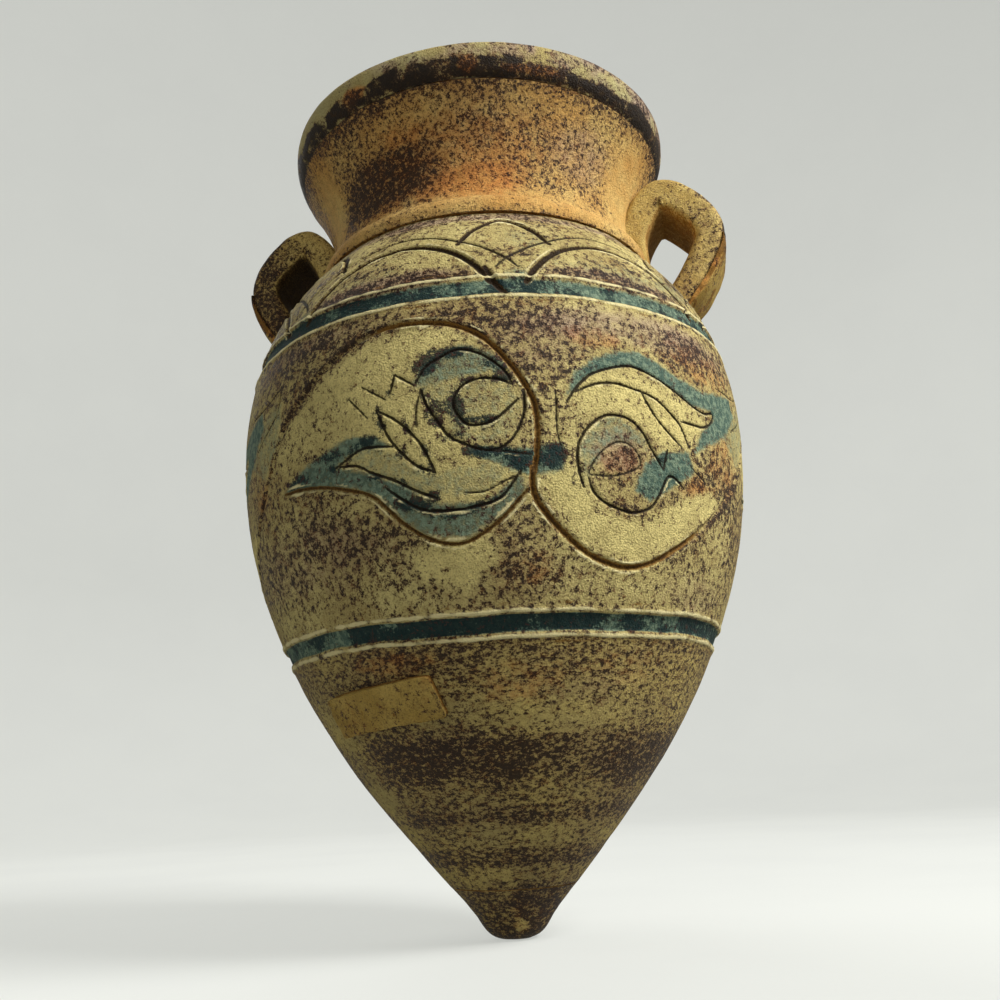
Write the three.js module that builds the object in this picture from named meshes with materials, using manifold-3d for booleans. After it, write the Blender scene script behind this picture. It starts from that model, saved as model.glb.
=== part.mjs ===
// Terracotta amphora: a pointed jar raised from thrown sections that lap into each other,
// with two strap handles bedded in the neck and the shoulder.
// Millimetres, +Z up. The origin is the middle of the toe's flat end, and the handles lie on +X and -X.

import * as THREE from "three";
import { ParametricGeometry } from "three/addons/geometries/ParametricGeometry.js";
import { mergeVertices } from "three/addons/utils/BufferGeometryUtils.js";
import Module from "manifold-3d";

const wasm = await Module();
wasm.setup();

// Wall of the jar, as seen from outside
const toeFaceRadius = 5;
const toeRadius = 9.4;
const toeRoundHeight = 7;
const coneAngle = THREE.MathUtils.degToRad(32);
const coneReach = 30;
const bellyRadius = 100;
const bellyHeight = 180;
const bellyPullBelow = 97;
const bellyPullAbove = 46;
const shoulderAngle = THREE.MathUtils.degToRad(38);
const shoulderReach = 14;
const neckFootRadius = 69.7;
const neckFootHeight = 256;
const wallThickness = 7;

// Neck and lip, counted outwards and upwards from the neck's foot
const neckRollHeight = 8.5;
const neckRollStep = 4.5;
const neckRollBulge = 1.2;
const neckRollCrestRise = 6;
const neckWaistPull = new THREE.Vector2(-8.7, 19.5);
const neckFlarePull = new THREE.Vector2(-3.2, 36.5);
const lipFootReach = 7.3;
const lipFootRise = 52;
const lipHeight = 14;
const lipRollReach = 5.4;
const lipRollRise = 3.1;
const lipLandReach = 3.2;
const lipLandWidth = 3;

// Laps between the sections, and the two sunk bands at their lower edges
const lapLength = 5;
const lapDepth = wallThickness / 2;
const lutingGap = 0.3;
const toeHeight = 18;
const lowerBandHeight = 97;
const lowerBandWidth = 9;
const upperBandHeight = 207.5;
const upperBandWidth = 10;
const bandEdge = 1.3;
const bandSlope = 0.7;
const bandDepth = 0.8;

// Incised stem that waves round the belly between the bands
const stemWaves = 3;
const stemWidth = 3.8;
const stemDepth = 1.25;
const stemAboveBand = 12;
const stemBelowBand = 7.5;
// A few points of one wave: its turn in degrees, and its share of the way from trough to crest
const stemWave = [
  [-44, 0.5],
  [-30, 0.8],
  [-10, 1],
  [9, 0.9],
  [18, 0.61],
  [17.5, 0.34],
  [28, 0.05],
  [38, 0],
  [57, 0.17],
];

// Incised arches of the shoulder: a front row on the band, and a back row between their crowns.
// Crowns and feet are shares of the way from the band to the neck's foot.
const archCount = 7;
const archWidth = 2.4;
const archDepth = 0.95;
const firstArch = THREE.MathUtils.degToRad(-11);
const frontArchHalf = THREE.MathUtils.degToRad(21.3);
const frontCrownShare = 0.4975;
const frontArchPoint = 1.42;
const backArchHalf = THREE.MathUtils.degToRad(10.7);
const backFootShare = 0.4472;
const backCrownShare = 0.8241;
const backArchPoint = 1.8;
const rootClearance = 10;
const rootLimbShare = 0.75;

// Strap handles, placed from the neck's foot
const strapWidth = 30;
const strapEdgeRound = 4;
const strapNeckThickness = 13;
const strapCrownThickness = 11.5;
const strapShoulderThickness = 12;
const strapCrownShare = 0.42;
const neckLimbInset = 5;
const neckLimbDrop = 5;
const neckLimbRise = 15;
const crownRise = 33;
const crownReach = 7.3;
const haunchRise = 21.5;
const haunchReach = 23.6;
const bowRise = 9.5;
const bowReach = 27.5;
const elbowDrop = 5;
const elbowReach = 20.3;
const shoulderRootDrop = 14.5;
const strapBedding = 1.3;

// Wads of clay smeared over the outside of the straps' roots
const wadWidth = 29;
const wadBulge = 3.2;
const wadEdge = 0.6;
const wadStartShare = 0.68;
const wadEndShare = 0.98;

// Clay tablet on the lower wall
const tabletLength = 48;
const tabletHeight = 15.5;
const tabletCornerRound = 2;
const tabletThickness = 2.2;
const tabletBelowBand = 17;
const tabletAzimuth = THREE.MathUtils.degToRad(-25.5);
const tabletTilt = THREE.MathUtils.degToRad(5);

// Facets
const turnSegments = 44;
const outlineStep = 13;
const toeRoundSteps = 3;
const neckRollSteps = 5;
const lipRollSteps = 7;
const lipMouthSteps = 3;
const strapSteps = 20;
const strapEdgeSteps = 3;
const wadSteps = 12;
const tabletCornerSteps = 4;
const stemSteps = 72;
const frontArchSteps = 9;
const backArchSteps = 6;
const grooveLift = 0.6;
const grooveSides = 3;
const tangentShare = 1e-3;
const mergeDistance = 1e-4;
const searchHalvings = 40;

const lowerCurve = new THREE.CubicBezierCurve(
  new THREE.Vector2(toeRadius, 0),
  new THREE.Vector2(toeRadius + coneReach * Math.sin(coneAngle), coneReach * Math.cos(coneAngle)),
  new THREE.Vector2(bellyRadius, bellyHeight - bellyPullBelow),
  new THREE.Vector2(bellyRadius, bellyHeight),
);
const upperCurve = new THREE.CubicBezierCurve(
  new THREE.Vector2(bellyRadius, bellyHeight),
  new THREE.Vector2(bellyRadius, bellyHeight + bellyPullAbove),
  new THREE.Vector2(
    neckFootRadius + shoulderReach * Math.sin(shoulderAngle),
    neckFootHeight - shoulderReach * Math.cos(shoulderAngle),
  ),
  new THREE.Vector2(neckFootRadius, neckFootHeight),
);

// Point that lies a reach outside the neck's foot and a rise above it
function fromNeckFoot(reach, rise) {
  return new THREE.Vector2(neckFootRadius + reach, neckFootHeight + rise);
}

const neckRollTop = fromNeckFoot(-neckRollStep, neckRollHeight);
const lipFoot = fromNeckFoot(lipFootReach, lipFootRise);
const neckRollCurve = new THREE.QuadraticBezierCurve(
  fromNeckFoot(0, 0),
  fromNeckFoot(neckRollBulge, neckRollCrestRise),
  neckRollTop,
);
const neckCurve = new THREE.CubicBezierCurve(
  neckRollTop,
  fromNeckFoot(neckWaistPull.x, neckWaistPull.y),
  fromNeckFoot(neckFlarePull.x, neckFlarePull.y),
  lipFoot,
);

// The curve of the outside that holds a height
function curveAt(height) {
  if (height < bellyHeight) return lowerCurve;
  if (height < neckFootHeight) return upperCurve;
  return height < neckRollTop.y ? neckRollCurve : neckCurve;
}

// Point and upward direction of the outside at a height, found by halving
function outsideAt(height, curve = curveAt(height)) {
  let low = 0;
  let high = 1;
  for (let halving = 0; halving < searchHalvings; halving += 1) {
    const middle = (low + high) / 2;
    if (curve.getPoint(middle).y < height) low = middle;
    else high = middle;
  }
  return { point: curve.getPoint(low), along: curve.getTangent(low) };
}

// Point that lies a length along a frame's direction and a depth into the clay from it
function inFrame(frame, length, depth) {
  return new THREE.Vector2(
    frame.point.x + frame.along.x * length - frame.along.y * depth,
    frame.point.y + frame.along.y * length + frame.along.x * depth,
  );
}

function wallPoint(height, depth) {
  return inFrame(outsideAt(height), 0, depth);
}

// Evenly spaced heights strictly between two others
function heightsBetween(from, to) {
  const count = Math.max(1, Math.round((to - from) / outlineStep));
  return Array.from({ length: count - 1 }, (unused, i) => from + ((i + 1) * (to - from)) / count);
}

// Upper edge of a lower section: a seat outside and a tongue inside, from the outside in
function tongueEdge(frame) {
  const half = lutingGap / 2;
  return [
    inFrame(frame, -half, 0),
    inFrame(frame, -half, lapDepth + half),
    inFrame(frame, lapLength - half, lapDepth + half),
    inFrame(frame, lapLength - half, wallThickness),
  ];
}

// Lower edge of the section above it, which laps over that tongue, from the outside in
function lapEdge(frame) {
  const half = lutingGap / 2;
  return [
    inFrame(frame, half, 0),
    inFrame(frame, half, lapDepth - half),
    inFrame(frame, lapLength + half, lapDepth - half),
    inFrame(frame, lapLength + half, wallThickness),
  ];
}

// Outside points of a sunk band that starts at a section's lower edge
function bandOutline(height, width) {
  return [
    wallPoint(height + bandEdge, 0),
    wallPoint(height + bandEdge + bandSlope, bandDepth),
    wallPoint(height + width - bandEdge - bandSlope, bandDepth),
    wallPoint(height + width - bandEdge, 0),
    wallPoint(height + width, 0),
  ];
}

// Outline of a wall section between two edges, with the band of a width that it starts with, if it has one
function sectionOutline(from, to, lowerEdge, upperEdge, bandWidth = 0) {
  const band = bandWidth > 0 ? bandOutline(from, bandWidth) : [];
  const outside = heightsBetween(from + bandWidth, to).map((height) => wallPoint(height, 0));
  const inside = heightsBetween(from + lapLength, to).map((height) => wallPoint(height, wallThickness));
  return [
    lowerEdge[0],
    ...band,
    ...outside,
    ...upperEdge,
    ...inside.reverse(),
    ...lowerEdge.slice(1).reverse(),
  ];
}

// Solid of revolution about Z of an outline that closes on itself or ends on the axis
function revolve(outline) {
  const closed = outline[0].x > 0 ? [...outline, outline[0]] : outline;
  const geometry = new THREE.LatheGeometry(closed, turnSegments);
  geometry.rotateX(Math.PI / 2);
  return solidOf(geometry);
}

// Closed solid of a geometry, turned right side out
function solidOf(geometry) {
  geometry.deleteAttribute("normal");
  geometry.deleteAttribute("uv");
  const merged = mergeVertices(geometry, mergeDistance);
  const corners = Array.from(merged.index.array);
  const triangles = [];
  for (let i = 0; i < corners.length; i += 3) {
    const [a, b, c] = corners.slice(i, i + 3);
    if (a !== b && b !== c && c !== a) triangles.push(a, b, c);
  }
  const places = merged.attributes.position.array;
  let volume = 0;
  const corner = (index) => new THREE.Vector3().fromArray(places, index * 3);
  for (let i = 0; i < triangles.length; i += 3) {
    const [a, b, c] = triangles.slice(i, i + 3).map(corner);
    volume += a.dot(b.cross(c));
  }
  if (volume < 0) triangles.reverse();
  return new wasm.Manifold(new wasm.Mesh({
    numProp: 3,
    vertProperties: new Float32Array(places),
    triVerts: new Uint32Array(triangles),
  }));
}

function meshOf(name, solid, material) {
  const { vertProperties, triVerts } = solid.getMesh();
  const geometry = new THREE.BufferGeometry();
  geometry.setAttribute("position", new THREE.BufferAttribute(vertProperties, 3));
  geometry.setIndex(new THREE.BufferAttribute(triVerts, 1));
  geometry.computeVertexNormals();
  const mesh = new THREE.Mesh(geometry, material);
  mesh.name = name;
  return mesh;
}

// Place and outward direction on the outside of the wall, at a turn about Z from -Y towards +X and a height
function onWall({ turn, height }) {
  const { point, along } = outsideAt(height);
  const axis = new THREE.Vector3(0, 0, 1);
  return {
    place: new THREE.Vector3(0, -point.x, point.y).applyAxisAngle(axis, turn),
    facing: new THREE.Vector3(0, -along.y, -along.x).applyAxisAngle(axis, turn),
  };
}

// Body that cuts a groove with a sharp bottom along a path on the wall.
// An open path rises out of the clay over its first and last step.
function groove(pathAt, width, depth, steps, closed) {
  const flank = (width / 2) * (1 + grooveLift / depth);
  const onPath = (share) => onWall(pathAt(closed ? (share + 1) % 1 : THREE.MathUtils.clamp(share, 0, 1)));
  const geometry = new ParametricGeometry((share, around, corner) => {
    const { place, facing } = onPath(share);
    const before = onPath(share - tangentShare).place;
    const after = onPath(share + tangentShare).place;
    const sideways = after.sub(before).cross(facing).normalize();
    const size = closed ? 1 : Math.min(1, share * steps, (1 - share) * steps);
    const side = Math.round(around * grooveSides) % grooveSides;
    corner.copy(place);
    if (side === 0) {
      corner.addScaledVector(facing, THREE.MathUtils.lerp(grooveLift, -depth, size));
    } else {
      const reach = side === 1 ? -flank : flank;
      corner.addScaledVector(facing, grooveLift).addScaledVector(sideways, reach * size);
    }
  }, steps, grooveSides);
  return solidOf(geometry);
}

// The stem's groove, in one closed wave round the belly
function stemGroove() {
  const trough = lowerBandHeight + lowerBandWidth + stemAboveBand;
  const crest = upperBandHeight - stemBelowBand;
  const points = [];
  for (let wave = 0; wave < stemWaves; wave += 1) {
    for (const [degrees, share] of stemWave) {
      const turn = THREE.MathUtils.degToRad(degrees + (wave * 360) / stemWaves);
      points.push(onWall({ turn, height: THREE.MathUtils.lerp(trough, crest, share) }).place);
    }
  }
  const line = new THREE.CatmullRomCurve3(points, true);
  const pathAt = (share) => {
    const point = line.getPoint(share);
    return { turn: Math.atan2(point.x, -point.y), height: point.z };
  };
  return groove(pathAt, stemWidth, stemDepth, stemSteps, true);
}

// Groove of one arch about a middle turn. A higher power of its rise makes it more pointed.
function archGroove(middle, half, foot, rise, power, steps) {
  const pathAt = (share) => ({
    turn: middle - half * Math.cos(Math.PI * share),
    height: foot + rise * Math.sin(Math.PI * share) ** power,
  });
  return groove(pathAt, archWidth, archDepth, steps, false);
}

// Both rows of arches, which stop short of the straps' roots
function archGrooves() {
  const foot = upperBandHeight + upperBandWidth - bandEdge;
  const room = neckFootHeight - foot;
  const backFoot = foot + backFootShare * room;
  const backRise = (backCrownShare - backFootShare) * room;
  const spacing = (2 * Math.PI) / archCount;
  const arches = [];
  for (let index = 0; index < archCount; index += 1) {
    const front = firstArch + index * spacing;
    const back = front + spacing / 2;
    arches.push(archGroove(
      front, frontArchHalf, foot, frontCrownShare * room, frontArchPoint, frontArchSteps));
    arches.push(archGroove(back, backArchHalf, backFoot, backRise, backArchPoint, backArchSteps));
  }
  const root = strapLoop(rootClearance, rootLimbShare);
  return wasm.Manifold.union(arches).subtract(root).subtract(root.rotate(halfTurn));
}

// Everything within the outside of the jar, sunk by a depth: used to trim what sits on the wall
function jarCore(depth) {
  const lipTop = lipFoot.y + lipHeight;
  const heights = [
    ...heightsBetween(toeHeight, bellyHeight),
    ...heightsBetween(bellyHeight, neckFootHeight),
    neckFootHeight - lutingGap,
    ...heightsBetween(neckFootHeight, neckRollTop.y),
    ...heightsBetween(neckRollTop.y, lipFoot.y),
  ];
  const outside = heights.map((height) => wallPoint(height, depth));
  const bottom = new THREE.Vector2(0, outside[0].y);
  const top = new THREE.Vector2(0, lipTop);
  return revolve([bottom, ...outside, new THREE.Vector2(lipFoot.x - depth, lipTop), top]);
}

// Middle line of the strap on +X, from the neck over the crown to the shoulder.
// Both of its ends run into the wall.
function strapLine() {
  const root = outsideAt(neckFootHeight - shoulderRootDrop).point;
  const elbow = fromNeckFoot(elbowReach, -elbowDrop);
  const intoWall = root.clone().sub(elbow).setLength(wallThickness);
  return new THREE.SplineCurve([
    fromNeckFoot(-neckLimbInset, -neckLimbDrop),
    fromNeckFoot(-neckLimbInset, neckLimbRise),
    fromNeckFoot(crownReach, crownRise),
    fromNeckFoot(haunchReach, haunchRise),
    fromNeckFoot(bowReach, bowRise),
    elbow,
    root,
    root.clone().add(intoWall),
  ]);
}

// Thickness of the strap at a share of its length
function strapThickness(share) {
  if (share < strapCrownShare) {
    return THREE.MathUtils.lerp(strapNeckThickness, strapCrownThickness, share / strapCrownShare);
  }
  const fall = THREE.MathUtils.smoothstep(share, strapCrownShare, 1);
  return THREE.MathUtils.lerp(strapCrownThickness, strapShoulderThickness, fall);
}

function strapFrame(line, share) {
  return { point: line.getPointAt(share), along: line.getTangentAt(share) };
}

// Strap loop on +X: a curved band of varying thickness, wide along Y, grown by an allowance.
// It may start at a share of its length, for its lower limb alone.
function strapLoop(allowance, startShare = 0) {
  const line = strapLine();
  const upper = [];
  const lower = [];
  for (let step = Math.round(startShare * strapSteps); step <= strapSteps; step += 1) {
    const share = step / strapSteps;
    const frame = strapFrame(line, share);
    const half = strapThickness(share) / 2 + allowance;
    upper.push(inFrame(frame, 0, half));
    lower.push(inFrame(frame, 0, -half));
  }
  const outline = new THREE.Shape([...upper, ...lower.reverse()]);
  const geometry = new THREE.ExtrudeGeometry(outline, {
    depth: strapWidth - 2 * strapEdgeRound,
    bevelThickness: strapEdgeRound + allowance,
    bevelSize: strapEdgeRound,
    bevelOffset: -strapEdgeRound,
    bevelSegments: strapEdgeSteps,
  });
  geometry.translate(0, 0, strapEdgeRound - strapWidth / 2);
  geometry.rotateX(Math.PI / 2);
  return solidOf(geometry);
}

// Wad of clay smeared down the outside of a strap's root: it follows the strap and thins out at both ends
function rootWad() {
  const line = strapLine();
  const outer = [];
  const inner = [];
  for (let step = 0; step <= wadSteps; step += 1) {
    const share = THREE.MathUtils.lerp(wadStartShare, wadEndShare, step / wadSteps);
    const frame = strapFrame(line, share);
    const bed = strapThickness(share) / 2 + lutingGap;
    const bulge = wadBulge * Math.sin((Math.PI * step) / wadSteps);
    inner.push(inFrame(frame, 0, bed));
    outer.push(inFrame(frame, 0, bed + wadEdge + bulge));
  }
  const outline = new THREE.Shape([...outer, ...inner.reverse()]);
  const geometry = new THREE.ExtrudeGeometry(outline, { depth: wadWidth, bevelEnabled: false });
  geometry.translate(0, 0, -wadWidth / 2);
  geometry.rotateX(Math.PI / 2);
  return solidOf(geometry);
}

function toe() {
  const joint = outsideAt(toeHeight);
  const edge = tongueEdge(joint);
  const rounding = new THREE.QuadraticBezierCurve(
    new THREE.Vector2(toeFaceRadius, 0),
    new THREE.Vector2(toeRadius, 0),
    wallPoint(toeRoundHeight, 0),
  ).getPoints(toeRoundSteps);
  const spigot = edge.slice(0, 3);
  const floor = new THREE.Vector2(0, spigot[2].y);
  return revolve([new THREE.Vector2(0, 0), ...rounding, ...spigot, floor]);
}

function rimLip() {
  const edge = lapEdge(outsideAt(lipFoot.y, neckCurve));
  const top = lipFoot.y + lipHeight;
  const pullRadius = lipFoot.x + lipRollReach;
  const landOuter = lipFoot.x + lipLandReach;
  const landInner = landOuter - lipLandWidth;
  const mouthFoot = edge.at(-1);
  const roll = new THREE.CubicBezierCurve(
    edge[0],
    new THREE.Vector2(pullRadius, lipFoot.y + lipRollRise),
    new THREE.Vector2(pullRadius, top),
    new THREE.Vector2(landOuter, top),
  ).getPoints(lipRollSteps);
  const mouth = new THREE.QuadraticBezierCurve(
    new THREE.Vector2(landInner, top),
    new THREE.Vector2((landInner + mouthFoot.x) / 2, top),
    mouthFoot,
  ).getPoints(lipMouthSteps);
  return revolve([...roll, ...mouth, ...edge.slice(1, -1).reverse()]);
}

function neck() {
  const foot = { point: neckRollCurve.getPoint(0), along: new THREE.Vector2(0, 1) };
  const top = outsideAt(lipFoot.y, neckCurve);
  const lowerEdge = lapEdge(foot);
  const roll = neckRollCurve.getPoints(neckRollSteps).slice(1);
  const outside = heightsBetween(neckRollTop.y, lipFoot.y).map((height) => wallPoint(height, 0));
  const inside = heightsBetween(neckRollTop.y, lipFoot.y).map((height) => wallPoint(height, wallThickness));
  return revolve([
    lowerEdge[0],
    ...roll,
    ...outside,
    ...tongueEdge(top),
    ...inside.reverse(),
    ...lowerEdge.slice(1).reverse(),
  ]);
}

// Tablet of even thickness bent round the wall
function tablet() {
  const outline = new THREE.Shape();
  const x = tabletLength / 2 - tabletCornerRound;
  const y = tabletHeight / 2 - tabletCornerRound;
  outline.absarc(x, y, tabletCornerRound, 0, Math.PI / 2);
  outline.absarc(-x, y, tabletCornerRound, Math.PI / 2, Math.PI);
  outline.absarc(-x, -y, tabletCornerRound, Math.PI, 1.5 * Math.PI);
  outline.absarc(x, -y, tabletCornerRound, 1.5 * Math.PI, 2 * Math.PI);
  outline.closePath();
  const block = new THREE.ExtrudeGeometry(outline, {
    depth: bellyRadius,
    curveSegments: tabletCornerSteps,
    bevelEnabled: false,
  });
  const middleHeight = lowerBandHeight - tabletBelowBand;
  const middle = outsideAt(middleHeight);
  const slope = Math.atan2(middle.along.x, middle.along.y);
  block.rotateZ(tabletTilt);
  block.rotateX(Math.PI / 2 + slope);
  block.translate(0, -middle.point.x / 2, middleHeight + (middle.point.x / 2) * Math.tan(slope));
  block.rotateZ(tabletAzimuth);
  return solidOf(block).intersect(jarCore(-lutingGap - tabletThickness)).subtract(jarCore(-lutingGap));
}

const paintedClay = new THREE.MeshStandardMaterial({ color: "#9a8a5e", roughness: 0.85, metalness: 0 });
const ochreClay = new THREE.MeshStandardMaterial({ color: "#b08a4a", roughness: 0.85, metalness: 0 });
const lipClay = new THREE.MeshStandardMaterial({ color: "#8d8460", roughness: 0.8, metalness: 0 });
const darkClay = new THREE.MeshStandardMaterial({ color: "#4d3f2c", roughness: 0.8, metalness: 0 });
const bareClay = new THREE.MeshStandardMaterial({ color: "#a38d58", roughness: 0.9, metalness: 0 });

const halfTurn = [0, 0, 180];
const loop = strapLoop(0);
const strap = loop.subtract(jarCore(strapBedding));
const pocket = strapLoop(lutingGap).subtract(jarCore(strapBedding + lutingGap));
const pockets = pocket.add(pocket.rotate(halfTurn));
const wad = rootWad().subtract(jarCore(-lutingGap));

const baseCone = revolve(sectionOutline(
  toeHeight,
  lowerBandHeight,
  lapEdge(outsideAt(toeHeight)),
  tongueEdge(outsideAt(lowerBandHeight)),
));
const bellyWall = revolve(sectionOutline(
  lowerBandHeight,
  upperBandHeight,
  lapEdge(outsideAt(lowerBandHeight)),
  tongueEdge(outsideAt(upperBandHeight)),
  lowerBandWidth,
));
const neckSeat = { point: upperCurve.getPoint(1), along: new THREE.Vector2(0, 1) };
const shoulder = revolve(sectionOutline(
  upperBandHeight,
  neckFootHeight,
  lapEdge(outsideAt(upperBandHeight)),
  tongueEdge(neckSeat),
  upperBandWidth,
));

const amphora = new THREE.Group();
amphora.add(meshOf("toe", toe(), darkClay));
amphora.add(meshOf("base_cone", baseCone, paintedClay));
amphora.add(meshOf("belly_wall", bellyWall.subtract(stemGroove()), paintedClay));
amphora.add(meshOf("shoulder", shoulder.subtract(archGrooves()).subtract(pockets), paintedClay));
amphora.add(meshOf("neck", neck().subtract(pockets), ochreClay));
amphora.add(meshOf("rim_lip", rimLip(), lipClay));
amphora.add(meshOf("right_handle", strap, ochreClay));
amphora.add(meshOf("left_handle", strap.rotate(halfTurn), ochreClay));
amphora.add(meshOf("right_handle_wad", wad, bareClay));
amphora.add(meshOf("left_handle_wad", wad.rotate(halfTurn), bareClay));
amphora.add(meshOf("tablet", tablet(), bareClay));

export default amphora;
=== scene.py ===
# Looks of a pointed terracotta jar: incised scroll and arches, painted bands, speckled slip.
import math

import bpy
import numpy as np
from mathutils import Matrix, Vector, noise
from mathutils.kdtree import KDTree


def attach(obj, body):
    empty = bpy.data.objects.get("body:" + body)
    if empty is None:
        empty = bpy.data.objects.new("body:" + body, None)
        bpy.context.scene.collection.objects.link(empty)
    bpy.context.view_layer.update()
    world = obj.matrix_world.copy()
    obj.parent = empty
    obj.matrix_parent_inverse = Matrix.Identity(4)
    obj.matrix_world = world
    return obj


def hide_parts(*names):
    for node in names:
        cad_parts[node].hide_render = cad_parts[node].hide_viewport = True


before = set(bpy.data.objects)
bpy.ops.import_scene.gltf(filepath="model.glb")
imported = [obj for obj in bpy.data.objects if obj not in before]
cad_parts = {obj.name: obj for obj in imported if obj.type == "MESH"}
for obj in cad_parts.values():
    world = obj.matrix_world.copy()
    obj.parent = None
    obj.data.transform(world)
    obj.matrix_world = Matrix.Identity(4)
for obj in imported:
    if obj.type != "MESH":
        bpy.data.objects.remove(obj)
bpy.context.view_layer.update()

# Lengths in this script are in millimetres, angles in degrees.
# An azimuth of 0 faces -Y and grows towards +X.
MM = 0.001
FULL_TURN = 360.0

# Outside of the wall: control points in radius and height
LOWER_WALL = ((9.4, 0.0), (25.3, 25.44), (100.0, 83.0), (100.0, 180.0))
UPPER_WALL = ((100.0, 180.0), (100.0, 226.0), (78.32, 244.97), (69.7, 256.0))
NECK_ROLL = ((69.7, 256.0), (70.9, 262.0), (65.2, 264.5))
NECK_FLARE = ((65.2, 264.5), (61.0, 275.5), (66.5, 292.5), (77.0, 308.0))
LIP_ROLL = ((77.0, 308.0), (82.4, 311.1), (82.4, 322.0), (80.2, 322.0))
LIP_MOUTH = ((77.2, 322.0), (75.6, 322.0), (74.1, 316.2))
TOE_ROUND = ((5.0, 0.0), (10.4, 0.0))
TOE_ROUND_TOP = 7.0
TOE_FLOOR = 16.0
TOE_SETTLE = 8.0
WALL_THICKNESS = 7.0
CURVE_STEPS = 300
SPAN_STEPS = 24

# Heights of the seams between the thrown sections
TOE_TOP = 18.0
LOWER_BAND = 97.0
UPPER_BAND = 207.5
NECK_FOOT = 256.0
LIP_FOOT = 308.0

# Mesh of the thrown sections
TURN_STEPS = 390
OUTSIDE_STEP = 1.4
INSIDE_STEP = 6.0
LIP_STEP = 1.0
TOE_STEP = 0.8
FINE_CUTS = 2
FINE_MARGIN = 1.3
FINE_HALF = 2.3
FINE_SHIFT = 0.9
SMOOTH_ANGLE = 60.0
MERGE_WITHIN = 0.02
OUTER_WITHIN = 1.0
LEAST_WEIGHT = 0.004

# Hand-made unevenness, pressed into the wall so that it stays inside its own size
WOBBLE_SIZE = 45.0
WOBBLE_DEPTH = 0.9
DENT_SIZE = 9.0
DENT_DEPTH = 0.25

# Painted bands: height of the lower edge and width
BANDS = ((97.0, 9.0), (207.5, 10.0))
BAND_EDGE = 1.5
BAND_SLOPE = 0.7
BAND_DEPTH = 0.8
RIDGE_WIDTH = 0.75
RIDGE_HEIGHT = 0.5

# Incised lines: half the width, depth, brown stain and black stain
STEM = (1.3, 1.2, 1.0, 0.0)
BOLD = (0.95, 0.95, 0.8, 0.4)
ARCHED = (1.6, 1.1, 0.9, 0.75)
OUTER_ARCH = (0.9, 0.65, 0.35, 0.7)
THIN = (0.6, 0.8, 0.0, 1.0)
FAINT = (0.55, 0.45, 0.0, 0.7)
CUT_DEEPEST = 1.2
BURR_HEIGHT = 0.4
BURR_SPREAD = 0.36
LINE_STEP = 0.4
LINE_FADE = 4.0
# Where the stem is worn and pale, within a repeat
STEM_WORN_BEFORE = -12.0
STEM_WORN_AFTER = 57.0

FRIEZE_REPEATS = 3
FRIEZE_PERIOD = FULL_TURN / FRIEZE_REPEATS
FRIEZE_MIDDLE = 17.0
# Middle of a repeat's painted areas, and the radius that their outlines are drawn at
PAINT_MIDDLE = 22.0
PAINT_RADIUS = 95.0
ARCH_REPEATS = 7
ARCH_PERIOD = FULL_TURN / ARCH_REPEATS
ARCH_MIDDLE = -11.0
# Drop of paint between two arches: azimuth from an arch's middle, height, half width, half height
ARCH_DROP = (28.0, 217.0, 3.2, 3.0)

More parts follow.
